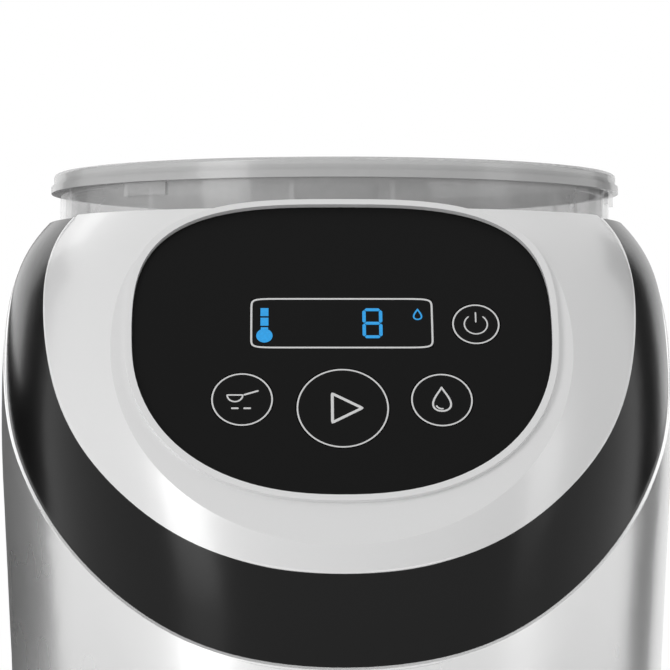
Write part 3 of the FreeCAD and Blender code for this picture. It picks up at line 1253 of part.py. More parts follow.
def board_parts():
    """Transformer, relay, capacitors and connectors on the main board."""
    front = TANK_FRONT - TANK_GAP - REAR_WALL_THICKNESS - MAIN_BOARD_PILLAR - BOARD_THICKNESS
    x, z = MAIN_BOARD_LEFT, MAIN_BOARD_LOW
    parts = [box(x + 8, x + 36, front - 24, front, z + 12, z + 40),
             box(x + 44, x + 60, front - 15, front, z + 14, z + 34),
             box(x + 10, x + 40, front - 7, front, z + 92, z + 102)]
    for index in range(3):
        parts.append(Part.makeCylinder(6, 20, vec(x + 14 + 16 * index, front, z + 58), vec(0, -1, 0)))
    parts.append(box(x + 34, x + 48, front - 2.5, front, z + 72, z + 86))
    return solids_in(*parts)


def key_faces():
    """The four keys, each a solid of its own."""
    return {name: key_solid(across, up, radius) for name, across, up, radius in KEYS}


PIECES = (
    outer_shell, band_ring, front_bezel, base_pan, base_screws, rubber_feet, rear_wall, tank_dock, power_inlet,
    control_panel, display_window, display_module, key_board, switch_domes,
    bay_liner, bottle_sensor, drip_tray, drip_grille, bottle_stand,
    funnel_cover, funnel_carrier, funnel, powder_chute, water_nozzle,
    powder_seat, powder_container, container_lid, lid_seal, stirring_wheel,
    drive_gear, motor_pinion, drive_shaft, drive_coupling, drive_bush, shaft_seal,
    gear_case, case_screws, gear_motor, motor_shaft,
    water_tank, hinge_pin, tank_flap, valve_body, valve_ring, valve_poppet, valve_spring, float_guide, level_float,
    water_pump, water_heater, tank_hose, pump_hose, heater_hose, main_board, board_parts,
)


def main():
    os.makedirs("parts", exist_ok=True)
    shapes = {make.__name__: make() for make in PIECES}
    shapes.update(key_faces())
    for name, shape in shapes.items():
        if not shape.isValid():
            print("invalid:", name)
        shape.exportStep("parts/%s.step" % name)
        b = shape.optimalBoundingBox(False)
        print("%-18s %d solids  x %.1f %.1f  y %.1f %.1f  z %.1f %.1f  %.0f mm3" % (
            name, len(shape.Solids), b.XMin, b.XMax, b.YMin, b.YMax, b.ZMin, b.ZMax, shape.Volume))


main()
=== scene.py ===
"""The looks of a baby formula maker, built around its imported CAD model."""
import math

import bpy
import numpy as np
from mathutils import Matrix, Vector
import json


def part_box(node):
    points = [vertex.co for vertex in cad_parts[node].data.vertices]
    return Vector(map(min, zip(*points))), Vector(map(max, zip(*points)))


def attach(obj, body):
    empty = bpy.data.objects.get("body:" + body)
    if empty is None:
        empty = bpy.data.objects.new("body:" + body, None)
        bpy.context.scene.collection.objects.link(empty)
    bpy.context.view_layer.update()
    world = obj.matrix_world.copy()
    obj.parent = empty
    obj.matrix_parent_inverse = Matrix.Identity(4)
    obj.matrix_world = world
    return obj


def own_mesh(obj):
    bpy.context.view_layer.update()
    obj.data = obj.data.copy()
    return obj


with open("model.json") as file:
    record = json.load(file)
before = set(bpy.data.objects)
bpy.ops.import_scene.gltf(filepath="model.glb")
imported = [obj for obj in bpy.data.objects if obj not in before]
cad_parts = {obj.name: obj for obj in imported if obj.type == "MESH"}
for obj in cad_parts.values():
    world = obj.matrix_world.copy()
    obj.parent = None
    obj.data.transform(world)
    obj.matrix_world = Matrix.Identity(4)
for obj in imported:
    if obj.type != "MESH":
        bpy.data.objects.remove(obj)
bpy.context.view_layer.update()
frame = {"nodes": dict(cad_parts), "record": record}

bl_info = {
    "name": "Formula Maker Looks",
    "version": (1, 0, 0),
    "blender": (4, 5, 0),
    "location": "3D View > Sidebar > Formula Maker",
    "description": "Finishes and fine parts of a baby formula maker, around its CAD model",
    "category": "Object",
}

MM = 0.001
NODES = frame["nodes"]
SLOTS = {part["node"]: part["material_slot"] for part in frame["record"]["subparts"]}

# Angles in degrees over which an edge is left sharp: on pieces, on cords and on printed lines
SHARP_EDGE, SHARP_CORD, SHARP_INK = 40.0, 60.0, 80.0

# The panel's own frame: its centre, and the directions across it, up it and out of it
PANEL_TILT = math.radians(32)
PANEL_CENTRE = np.array([0.0, -123.5, 317.5]) * MM
ACROSS = np.array([1.0, 0.0, 0.0])
UPWARD = np.array([0.0, math.sin(PANEL_TILT), math.cos(PANEL_TILT)])
OUTWARD = np.array([0.0, -math.cos(PANEL_TILT), math.sin(PANEL_TILT)])

# All sizes below are in millimetres, and places on the panel are given across and up it.

# Keys: node, body, place and radius
KEYS = (
    ("power_key", "power", 42.0, 3.3, 7.5),
    ("powder_key", "powder", -31.0, -24.4, 9.6),
    ("start_key", "start", 0.0, -27.5, 14.3),
    ("volume_key", "volume", 30.6, -24.6, 9.6),
)
RING_INSET = 0.35
RING_COUNT = 140

# Display: the frame line is a superellipse, and the lit marks stand a little proud
FRAME_HALF_WIDTH, FRAME_HALF_HEIGHT, FRAME_FULLNESS, FRAME_UP = 28.3, 9.1, 14.0, 3.7
FRAME_EXTRA_WIDTH = 0.1
GLOW_HEIGHT = 0.05
# Bars of the thermometer: left, right, low and high
THERMOMETER_BARS = (
    (-25.45, -22.95, 6.3, 9.3), (-25.45, -22.95, 2.7, 5.7), (-25.35, -23.05, 1.0, 2.1),
)
BULB_RADIUS, BULB_ACROSS, BULB_UP = 2.55, -24.2, -1.0
DIGIT_LEFT, DIGIT_RIGHT = 7.0, 12.2
DIGIT_LOW, DIGIT_MIDDLE, DIGIT_HIGH = -1.4, 3.65, 8.7
DIGIT_BAR, DIGIT_TIP, DIGIT_GAP = 1.08, 0.54, 0.12
UNIT_DROP_HEIGHT, UNIT_DROP_ACROSS, UNIT_DROP_UP, UNIT_DROP_LINE = 3.8, 23.8, 7.0, 0.5

# The body's outline, as its solids have it: full size, tapers below and roundings above
HALF_WIDTH, REACH, WIDEST, NOSE = 115.0, 165.0, 290.0, 216.0
SIDE_TAPER, SIDE_BEND = 15.0, 1.25
DEPTH_TAPER, DEPTH_BEND = 10.0, 1.5
SHOULDER_RISE, SHOULDER_FULLNESS = 84.0, 4.0
FRONT_RISE, FRONT_FULLNESS = 162.0, 2.6
RISE_MARGIN = 0.1
PLAN_FULLNESS, PLAN_EXTRA, PLAN_SPREAD = 2.3, 0.3, 38.0

# Seams beside the black band: piece, height at the nose, slope, and -1 below the band or 1 above
SEAMS = (("shell_edge", 216.0, 0.8, -1), ("bezel_edge", 244.0, 1.08, 1))
SEAM_TOP = 356.4
SEAM_SINK = 0.05

# Drum: ribs on its inner wall, its rim, and the raised ends of the stirring wheel in it
DRUM_AXIS_Y = 5.0
RIB_ANGLES = (-131.5, -100.0, -80.0, -40.0, 20.0, 160.0)
RIB_RADIUS, RIB_BELOW, RIB_SPAN = 94.3, 34.0, 0.9
RIB_HALF_WIDTH, RIB_HALF_HEIGHT, RIB_FULLNESS = 0.35, 31.0, 30.0
RIM_RADIUS, RIM_BELOW = 95.6, 1.2
RIM_HALF_WIDTH, RIM_HALF_HEIGHT, RIM_FULLNESS = 0.95, 0.6, 4.0
VANES, FIRST_VANE = 8, 22.5
# Corners of a vane's raised end: distance from the axis, and height over the wheel's top
VANE_TIP = ((21.0, -13.0), (21.0, -2.0), (27.0, 3.0), (29.6, -2.5), (36.6, 5.8), (31.5, -20.0))
VANE_HALF_THICKNESS = 0.6
CAP_RADIUS, CAP_RISE = 12.9, 2.0
CAP_HALF_WIDTH, CAP_HALF_HEIGHT, CAP_FULLNESS = 0.7, 4.0, 12.0

# Stage, in metres, watts and degrees
FLOOR_RADIUS, FLOOR_DROP, FLOOR_SAG = 1.6, 0.0004, 0.02
CARD_RADIUS, CARD_LOW, CARD_HIGH, CARD_THICKNESS = 2.6, -0.3, 1.9, 1.01
# Dark cards that only reflections show: name, and the angles between which they stand
CARDS = (("left_card", 93.0, 146.0), ("right_card", 38.0, 56.0))
# Lamps: name, place, power, width and height
LAMPS = (
    ("key_lamp", (-1.3, -1.3, 0.8), 12.0, 0.7, 1.4),
    ("fill_lamp", (1.6, -0.7, 0.8), 3.0, 0.5, 1.4),
    ("top_lamp", (0.1, 0.3, 1.9), 3.0, 1.2, 1.2),
    ("back_lamp", (-0.8, 1.6, 1.0), 4.0, 0.9, 1.2),
)
LAMP_AIM = (0, -0.05, 0.25)
WORLD_LIGHT = 0.38
CAMERA_AZIMUTH, CAMERA_PITCH = -1.0, 0.99
CAMERA_DISTANCE, CAMERA_HEIGHT = 1.1, 0.300
CAMERA_SENSOR, CAMERA_LENS = 36.0, 168.0
CAMERA_CLIP = (0.05, 20.0)

# Colour sockets of a Mix node: both inputs and the output
MIX_FIRST, MIX_SECOND, MIX_RESULT = 6, 7, 2


# Shader maths

class Value:
    """A shader socket that adds Math nodes when it is used in an expression."""

    def __init__(self, nodes, socket):
        self.nodes, self.socket = nodes, socket

    def math(self, operation, first, second, **settings):
        settings["operation"] = operation
        return self.nodes.make("ShaderNodeMath", settings, first, second)

    def __add__(self, other):
        return self.math("ADD", self, other)

    __radd__ = __add__

    def __sub__(self, other):
        return self.math("SUBTRACT", self, other)

    def __rsub__(self, other):
        return self.math("SUBTRACT", other, self)

    def __mul__(self, other):
        return self.math("MULTIPLY", self, other)

    __rmul__ = __mul__

    def clamped(self):
        return self.math("ADD", self, 0.0, use_clamp=True)

    def over(self, low, high):
        """0 below low, 1 above high and a smooth step between."""
        settings = {"interpolation_type": "SMOOTHSTEP"}
        return self.nodes.make("ShaderNodeMapRange", settings, self, low, high, 0.0, 1.0)


class Nodes:
    """The node tree of one finish."""

    def __init__(self, tree):
        self.tree = tree
        tree.nodes.clear()

    def add(self, kind, settings, *inputs, **named):
        """Adds a node: its settings first, then its sockets by order, or by name with
        underscores for spaces."""
        node = self.tree.nodes.new(kind)
        for key, value in settings.items():
            setattr(node, key, value)
        places = [*enumerate(inputs), *((key.replace("_", " "), named[key]) for key in named)]
        for place, value in places:
            socket = node.inputs[place]
            if isinstance(value, Value):
                self.tree.links.new(value.socket, socket)
            else:
                short = isinstance(value, tuple) and len(value) == 3 and socket.type == "RGBA"
                socket.default_value = (*value, 1.0) if short else value
        return node

    def make(self, kind, settings, *inputs, out=0, **named):
        """Adds a node and gives one of its outputs."""
        return Value(self, self.add(kind, settings, *inputs, **named).outputs[out])

    def place(self, stretch=(1.0, 1.0, 1.0)):
        """Object coordinates, stretched along the axes."""
        where = self.make("ShaderNodeTexCoord", {}, out="Object")
        return self.make("ShaderNodeVectorMath", {"operation": "MULTIPLY"}, where, stretch)

    def noise(self, scale, detail=2.0, stretch=(1.0, 1.0, 1.0)):
        return self.make("ShaderNodeTexNoise", {}, out="Fac", Vector=self.place(stretch),
                         Scale=scale, Detail=detail)

    def speckle(self, scale):
        return self.make("ShaderNodeTexVoronoi", {}, out="Distance", Vector=self.place(),
                         Scale=scale)

    def tint(self, factor, first, second):
        """A colour between two, by a factor."""
        mix = self.add("ShaderNodeMix", {"data_type": "RGBA"})
        self.tree.links.new(factor.socket, mix.inputs["Factor"])
        mix.inputs[MIX_FIRST].default_value = (*first, 1.0)
        mix.inputs[MIX_SECOND].default_value = (*second, 1.0)
        return Value(self, mix.outputs[MIX_RESULT])

    def bump(self, height, strength, distance):
        return self.make("ShaderNodeBump", {}, Strength=strength, Distance=distance,
                         Height=height)

    def principled(self, **sockets):
        """Ends the tree in a Principled shader with these sockets."""
        shader = self.make("ShaderNodeBsdfPrincipled", {}, **sockets)
        output = self.add("ShaderNodeOutputMaterial", {})
        self.tree.links.new(shader.socket, output.inputs["Surface"])


def linear(level):
    """A grey or colour written as it shows on a screen, as the shader wants it."""
    channels = (level,) * 3 if isinstance(level, (int, float)) else level
    return tuple(c / 12.92 if c <= 0.04045 else ((c + 0.055) / 1.055) ** 2.4 for c in channels)


def shade(colour, by):
    return tuple(min(1.0, c * by) for c in colour)


def start_finish(name):
    material = bpy.data.materials.new(name)
    material.use_nodes = True
    return material, Nodes(material.node_tree)


def painted_finish(name, colour, metallic, roughness, coat=0.3, fleck=0.04):
    """Satin paint: fine flecks in the colour, slow waves in the gloss, and a thin clear coat."""
    material, n = start_finish(name)
    flecks = n.noise(2600.0, detail=1.0)
    waves = n.noise(14.0, detail=3.0)
    base = n.tint(flecks * 0.7 + waves * 0.3, shade(colour, 1 - fleck), shade(colour, 1 + fleck))
    n.principled(Base_Color=base, Metallic=metallic, Roughness=waves * 0.06 + (roughness - 0.03),
                 Coat_Weight=coat, Coat_Roughness=0.12, Normal=n.bump(flecks, 0.03, 0.0001))
    return material


def moulded_finish(name, colour, roughness, depth=0.12, wear=0.12):
    """Moulded plastic: an even fine grain, with slightly paler and duller patches."""
    material, n = start_finish(name)
    cells = n.speckle(1800.0)
    patches = n.noise(22.0, detail=4.0)
    base = n.tint(patches, shade(colour, 1 - wear), shade(colour, 1 + wear))
    n.principled(Base_Color=base, Roughness=patches * 0.12 + (roughness - 0.06),
                 Specular_IOR_Level=0.35, Normal=n.bump(cells, depth, 0.0002))
    return material


def gloss_finish(name, colour, roughness, specular):
    """Polished plastic: nearly even colour with faint polishing marks in the gloss."""
    material, n = start_finish(name)
    marks = n.noise(60.0, detail=5.0)
    haze = n.noise(9.0)
    base = n.tint(haze, shade(colour, 0.9), shade(colour, 1.15))
    n.principled(Base_Color=base, Roughness=marks * 0.05 + haze * 0.04 + (roughness - 0.04),
                 Coat_Weight=0.0, Coat_Roughness=0.06, Specular_IOR_Level=specular,
                 Normal=n.bump(haze, 0.02, 0.0005))
    return material


def clear_finish(name, colour, opacity, roughness, streak=0.12):
    """Clear moulding, seen through by its opacity: flow lines and haze vary both a little."""
    material, n = start_finish(name)
    material.surface_render_method = "BLENDED"
    flow = n.noise(9.0, detail=3.0, stretch=(1.0, 1.0, 5.0))
    haze = n.noise(240.0)
    base = n.tint(flow, shade(colour, 0.92), shade(colour, 1.06))
    alpha = (flow * streak + haze * 0.04 + (opacity - streak / 2)).clamped()
    n.principled(Base_Color=base, Roughness=haze * 0.06 + (roughness - 0.02), Alpha=alpha,
                 IOR=1.49, Coat_Weight=0.4, Coat_Roughness=0.03,
                 Normal=n.bump(flow, 0.03, 0.001))
    return material


def metal_finish(name, colour, roughness, stretch=(1.0, 1.0, 30.0), lines=300.0):
    """Bare metal: fine lines along one direction change the gloss and the surface."""
    material, n = start_finish(name)
    grain = n.noise(lines, detail=3.0, stretch=stretch)
    stain = n.noise(35.0, detail=4.0)
    base = n.tint(stain, shade(colour, 0.88), shade(colour, 1.06))
    n.principled(Base_Color=base, Metallic=1.0,
                 Roughness=grain * 0.16 + stain * 0.06 + (roughness - 0.1),
                 Normal=n.bump(grain, 0.06, 0.0001))
    return material


def rubber_finish(name, colour, roughness=0.7):
    """Soft rubber: matt, with a pebbled surface and paler dust in it."""
    material, n = start_finish(name)
    pebbles = n.speckle(1400.0)
    dust = n.noise(120.0, detail=5.0)
    base = n.tint(dust.over(0.45, 0.8), colour, shade(colour, 1.5))
    n.principled(Base_Color=base, Roughness=dust * 0.15 + (roughness - 0.08),
                 Normal=n.bump(pebbles, 0.2, 0.0002))
    return material


def board_finish(name, colour):
    """Circuit board: solder mask over a net of slightly raised copper tracks."""
    material, n = start_finish(name)
    tracks = n.make("ShaderNodeTexVoronoi", {"feature": "DISTANCE_TO_EDGE"}, out="Distance",
                    Vector=n.place((1.0, 0.2, 1.0)), Scale=260.0)
    copper = 1.0 - tracks.over(0.04, 0.07)
    n.principled(Base_Color=n.tint(copper, colour, shade(colour, 1.9)),
                 Roughness=copper * -0.12 + 0.42, Normal=n.bump(copper, 0.25, 0.0001))
    return material


def lit_finish(name, colour):
    """Lit display segment: even light with the faint dots of its diffuser."""
    material, n = start_finish(name)
    glow = n.tint(n.speckle(1500.0).over(0.1, 0.7), colour, shade(colour, 0.85))
    n.principled(Base_Color=shade(colour, 0.3), Roughness=0.4, Emission_Color=glow,
                 Emission_Strength=1.0)
    return material


def printed_finish(name, colour):
    """Printed ink: matt, with the fine dots of screen printing in its colour."""
    material, n = start_finish(name)
    dots = n.speckle(5000.0)
    n.principled(Base_Color=n.tint(dots, colour, shade(colour, 0.9)), Roughness=0.45,
                 Normal=n.bump(dots, 0.1, 0.00005))
    return material


# Finishes by name: one for each material slot of the record, and those of single pieces
FINISHES = {}

# Nodes whose finish isn't their slot's own
OWN_FINISH = {"front_bezel": "pearl", "stirring_wheel": "vane", "powder_seat": "seat"}


def make_finishes(tones):
    FINISHES.update(
        silver=painted_finish("silver_paint", linear(tones.silver), metallic=0.8,
                              roughness=0.27),
        # The seam edges get a paler, less metallic copy of the casing paint: a painted highlight
        # on their real round edges
        silver_edge=painted_finish("edge_paint_with_painted_highlight", linear(0.97), metallic=0.3, roughness=0.2),
        pearl=painted_finish("pearl_paint", linear(tones.pearl), metallic=0.12, roughness=0.3,
                             coat=0.35, fleck=0.02),
        black_gloss=gloss_finish("gloss_black", linear(tones.band), roughness=0.2,
                                 specular=0.22),
        black=moulded_finish("grained_black", linear(0.13), roughness=0.5),
        panel=gloss_finish("panel_black", linear(tones.panel), roughness=0.5, specular=0.08),
        dark_grey=moulded_finish("dark_grey_moulding", linear(0.36), roughness=0.42),
        vane=clear_finish("smoky_grey_moulding", linear(0.42), opacity=0.66, roughness=0.2),
        seat=moulded_finish("pale_grey_moulding", linear(0.80), roughness=0.45),
        white=moulded_finish("white_moulding", linear(0.9), roughness=0.4, depth=0.05,
                             wear=0.03),
        clear=clear_finish("clear_drum", linear(0.96), tones.drum_opacity, roughness=0.08),
        tank=clear_finish("clear_tank", linear((0.80, 0.84, 0.87)), opacity=0.42,
                          roughness=0.08),
        window=gloss_finish("tinted_window", linear(0.06), roughness=0.45, specular=0.08),
        lid=clear_finish("milky_lid", linear(tones.lid), opacity=0.72, roughness=0.24,
                         streak=0.08),
        rubber=rubber_finish("black_rubber", linear(0.11)),
        seal=rubber_finish("pale_seal", linear(0.84), roughness=0.5),
        hose=rubber_finish("silicone_hose", linear(0.86), roughness=0.35),
        steel=metal_finish("bright_steel", linear(0.82), roughness=0.25),
        motor_steel=metal_finish("plated_steel", linear(0.70), roughness=0.34,
                                 stretch=(6.0, 6.0, 1.0)),
        aluminium=metal_finish("cast_aluminium", linear(0.78), roughness=0.42,
                               stretch=(1.0, 1.0, 1.0), lines=900.0),
        brass=metal_finish("turned_brass", linear((0.88, 0.74, 0.46)), roughness=0.24),
        board=board_finish("green_board", linear((0.10, 0.36, 0.22))),
        glow=lit_finish("blue_glow", linear(tones.glow)),
        ink=printed_finish("white_ink", linear(0.93)),
    )


# Surfaces from grids of points

def surface(points, close_rows=False, caps=False):
    """Corners and outward faces from a grid of points, rows by columns, whose columns close
    on themselves. Rows close too on a ring, or the first and last row are capped."""
    rows, columns = points.shape[:2]
    index = np.arange(rows * columns).reshape(rows, columns)
    if close_rows:
        index = np.vstack([index, index[:1]])
    here, there = index[:-1], index[1:]
    quads = np.stack([here, np.roll(here, -1, 1), np.roll(there, -1, 1), there], -1)
    quads = quads.reshape(-1, 4)
    corners = points.reshape(-1, 3)
    a, b, c, d = (corners[quads[:, k]] - corners.mean(0) for k in range(4))
    volume = np.einsum("ij,ij->", a, np.cross(b, c) + np.cross(c, d))
    faces = [quads]
    if caps:
        faces += [index[:1, ::-1], index[-1:]]
    if volume < 0:
        faces = [block[:, ::-1] for block in faces]
    return corners, faces


def mesh_of(name, surfaces, sharp=SHARP_EDGE):
    """One smooth mesh from some surfaces, corners and faces as they are."""
    starts = np.cumsum([0] + [len(corners) for corners, _ in surfaces])
    faces = [face for (_, blocks), start in zip(surfaces, starts)
             for block in blocks for face in (block + start).tolist()]
    mesh = bpy.data.meshes.new(name)
    mesh.from_pydata(np.vstack([corners for corners, _ in surfaces]).tolist(), [], faces)
    mesh.shade_smooth()
    mesh.set_sharp_from_angle(angle=math.radians(sharp))
    mesh.validate()
    return mesh


def put_in_scene(name, data):
    thing = bpy.data.objects.new(name, data)
    bpy.context.scene.collection.objects.link(thing)
    return thing


def add_piece(name, surfaces, finish, body, sharp=SHARP_EDGE):
    """Puts surfaces into the scene as one piece that rides on a body."""
    piece = put_in_scene(name, mesh_of(name, surfaces, sharp))
    piece.data.materials.append(FINISHES[finish])
    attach(piece, body)


def on_panel(across, up, proud):
    """Points given across, up and out of the panel in millimetres, in the object's frame."""
    across, up, proud = np.broadcast_arrays(across, up, proud)
    out = across[..., None] * ACROSS + up[..., None] * UPWARD + proud[..., None] * OUTWARD
    return PANEL_CENTRE + out * MM


def stroke(line, width, height, closed=True, sides=10):
    """A printed line on the panel: a flattened round profile carried along a flat path.
    Sideways it reaches width/2 times cos v, and outwards height times sin v, with a nearly
    flat underside. An open line narrows to a round end."""
    if closed:
        along = np.roll(line, -1, 0) - np.roll(line, 1, 0)
        fade = np.ones(len(line))
    else:
        along = np.gradient(line, axis=0)
        step = np.linspace(-1, 1, len(line))
        fade = np.sqrt(np.clip(1 - step ** 40, 0.0004, 1))
    along /= np.linalg.norm(along, axis=1)[:, None]
    aside = np.stack([-along[:, 1], along[:, 0]], 1)
    turn = np.linspace(0, 2 * math.pi, sides, endpoint=False)
    reach = width / 2 * np.cos(turn)
    lift = height * np.where(np.sin(turn) > 0, np.sin(turn), 0.15 * np.sin(turn))
    flat = line[:, None] + aside[:, None] * (reach * fade[:, None])[..., None]
    points = on_panel(flat[..., 0], flat[..., 1], lift * fade[:, None])
    return surface(points, close_rows=closed, caps=not closed)


def tablet(outline, height):
    """A filled mark on the panel: the outline rises, rounds over its edge and closes flat.
    Row k scales the outline about its middle while its height follows a quarter round."""
    middle = outline.mean(0)
    turn = np.linspace(0, math.pi / 2, 4)
    shrink = np.concatenate([[1.0], 1 - 0.06 * (1 - np.cos(turn))])
    lift = np.concatenate([[-0.02], height * np.sin(turn)])
    flat = middle + (outline - middle) * shrink[:, None, None]
    return surface(on_panel(flat[..., 0], flat[..., 1], lift[:, None]), caps=True)


def ring_line(radius, across, up, count, start=0.0, end=360.0):
    """Points on a circle, or on an arc between two angles in degrees."""
    angle = np.radians(np.linspace(start, end, count, endpoint=end - start < 360))
    return np.stack([across + radius * np.cos(angle), up + radius * np.sin(angle)], 1)


def superellipse(half_width, half_height, fullness, across, up, count=20):
    """A rectangle with round corners, fuller with a higher exponent: each coordinate is its
    half size times cos or sin t to the power 2/fullness, with its sign."""
    t = np.linspace(0, 2 * math.pi, count, endpoint=False)
    c, s = np.cos(t), np.sin(t)
    return np.stack([across + half_width * np.sign(c) * np.abs(c) ** (2 / fullness),
                     up + half_height * np.sign(s) * np.abs(s) ** (2 / fullness)], 1)


def bar_line(x0, y0, x1, y1, width, tip):
    """A display bar's outline: straight sides and a mitred point at each end."""
    start, end = np.array([x0, y0]), np.array([x1, y1])
    along = (end - start) / np.linalg.norm(end - start)
    aside = np.array([-along[1], along[0]]) * width / 2
    return np.array([start, start + along * tip + aside, end - along * tip + aside,
                     end, end - along * tip - aside, start + along * tip - aside])


def straight(points, count=15, closed=False):
    """Points spread evenly on each run between corners, back to the first when closed."""
    corners = np.array(points, float)
    share = np.linspace(0, 1, count, endpoint=False)[:, None]
    ends = np.roll(corners, -1, 0) if closed else corners[1:]
    runs = [a + (b - a) * share for a, b in zip(corners, ends)]
    return np.vstack(runs if closed else runs + [corners[-1:]])


def drop_line(height, across, up, count=60):
    """A water drop, round below and drawn to a point above: its half width is 0.46 times the
    height, times sin t and sin t/2 to the power 1.5."""
    t = np.linspace(0, 2 * math.pi, count, endpoint=False)
    x = 0.46 * height * np.sin(t) * np.sin(t / 2) ** 1.5
    y = height / 2 * np.cos(t)
    return np.stack([across + x, up + y], 1)


# Symbols on the keys, about a key's centre: a list of path, whether it closes, and line width

def power_marks(x, y):
    """A ring that is open at its top, and a bar in the gap."""
    return [(ring_line(3.6, x, y, 60, 125, 415), False, 0.45),
            (straight([(x, y + 0.6), (x, y + 4.6)]), False, 0.45)]


def powder_marks(x, y):
    """A scoop: a half round bowl, a slanted handle and two dashes under it."""
    brim = straight([(x + 0.2, y + 1.6), (x - 4.6, y + 1.6)])
    bowl = ring_line(2.4, x - 2.2, y + 1.6, 30, 180, 360)[1:-1]
    return [(np.vstack([brim, bowl]), True, 0.5),
            (straight([(x + 0.4, y + 1.6), (x + 5.2, y + 3.2)]), False, 0.6),
            (straight([(x - 3.4, y - 3.2), (x - 1.0, y - 3.2)]), False, 0.6),
            (straight([(x + 0.4, y - 3.2), (x + 2.8, y - 3.2)]), False, 0.6)]


def start_marks(x, y):
    """A triangle that points to the right."""
    corners = [(x - 3.2, y + 5.2), (x - 3.2, y - 5.2), (x + 6.0, y)]
    return [(straight(corners, 30, closed=True), True, 0.9)]


def volume_marks(x, y):
    """A water drop with a glint in its round."""
    return [(drop_line(8.6, x, y + 0.3), True, 0.6),
            (ring_line(1.9, x, y - 1.3, 20, 200, 285), False, 0.5)]


SYMBOLS = {"power": power_marks, "powder": powder_marks, "start": start_marks,
           "volume": volume_marks}


# The body's outline

def body_reaches(z):
    """Half width, forward reach and backward reach of the body at a height, in millimetres.
    Below, each loses its taper times the share of the depth to a power. Above, each follows
    a quarter superellipse."""
    below = np.clip(WIDEST - z, 0, None) / WIDEST
    above = np.clip(z - WIDEST, 0, SHOULDER_RISE - RISE_MARGIN) / SHOULDER_RISE
    shoulder = (1 - above ** SHOULDER_FULLNESS) ** (1 / SHOULDER_FULLNESS)
    side = np.where(z <= WIDEST, HALF_WIDTH - SIDE_TAPER * below ** SIDE_BEND,
                    HALF_WIDTH * shoulder)
    back = np.where(z <= WIDEST, REACH - DEPTH_TAPER * below ** DEPTH_BEND, REACH * shoulder)
    sunk = np.clip(NOSE - z, 0, None) / NOSE
    raised = np.clip(z - NOSE, 0, FRONT_RISE - RISE_MARGIN) / FRONT_RISE
    front = np.where(z <= NOSE, REACH - DEPTH_TAPER * sunk ** DEPTH_BEND,
                     REACH * (1 - raised ** FRONT_FULLNESS) ** (1 / FRONT_FULLNESS))
    return side, front, back


def seam_path(nose_height, slope, count=260):
    """Where a sloping seam plane meets the body: points from one end over the nose to the
    other, and outward normals. At a depth y the half width is the side's times
    (1 - |y/reach|^n)^(1/n), and the height rises from the nose by the slope."""
    nose = -REACH
    for _ in range(8):
        nose = -float(body_reaches(np.array(nose_height + slope * (nose + REACH)))[1])
    end = (SEAM_TOP - nose_height) / slope - REACH
    share = np.linspace(-1, 1, count)
    y = nose + (end - nose) * share ** 2
    z = nose_height + slope * (y + REACH)
    side, front, back = body_reaches(z)
    bulge = PLAN_EXTRA * np.exp(-(((z - WIDEST) / PLAN_SPREAD) ** 2))
    full = np.where(y < 0, PLAN_FULLNESS + bulge, PLAN_FULLNESS)
    reach = np.where(y < 0, front, back)
    x = side * np.clip(1 - np.abs(y / reach) ** full, 0, 1) ** (1 / full) * np.sign(share)
    normal = np.stack([np.sign(x) * np.abs(x / side) ** (full - 1) / side,
                       np.sign(y) * np.abs(y / reach) ** (full - 1) / reach,
                       np.zeros_like(x)], 1)
    normal /= np.linalg.norm(normal, axis=1)[:, None]
    return np.stack([x, y, z], 1), normal


def cord_along(path, radius, aside, sides=10):
    """A round profile carried along a path in space: radius times cos v along the first
    direction, which aside gives at each point, and times sin v along the second."""
    along = np.gradient(path, axis=0)
    along /= np.linalg.norm(along, axis=1)[:, None]
    first = aside - along * np.einsum("ij,ij->i", aside, along)[:, None]
    first /= np.linalg.norm(first, axis=1)[:, None]
    second = np.cross(along, first)
    turn = np.linspace(0, 2 * math.pi, sides, endpoint=False)[:, None]
    around = first[:, None] * np.cos(turn) + second[:, None] * np.sin(turn)
    return surface((path[:, None] + around * radius) * MM, caps=True)


# Round the drum's axis

def turned(profile, start=0.0, end=360.0, count=240):
    """A closed profile of radius and height carried round the drum's axis, all the way or
    between two angles in degrees: x = r cos u, y = r sin u and z = h."""
    whole = end - start >= 360
    angle = np.radians(np.linspace(start, end, count, endpoint=not whole))[:, None]
    radius, height = profile.T
    x = radius * np.cos(angle)
    y = DRUM_AXIS_Y + radius * np.sin(angle)
    points = np.stack([x, y, np.broadcast_to(height, x.shape)], -1) * MM
    return surface(points, close_rows=whole, caps=not whole)


def upright_blade(outline, base, angle, half_thickness):
    """A flat blade that stands along a radius: its outline, given as radius and height, on
    both sides of the radius."""
    radius, height = np.array(outline).T
    cosine, sine = math.cos(math.radians(angle)), math.sin(math.radians(angle))
    aside = np.array([-half_thickness, half_thickness])[:, None]
    x = radius * cosine - aside * sine
    y = DRUM_AXIS_Y + radius * sine + aside * cosine
    z = np.broadcast_to(base + height, x.shape)
    return surface(np.stack([x, y, z], -1) * MM, caps=True)


# What a user would change

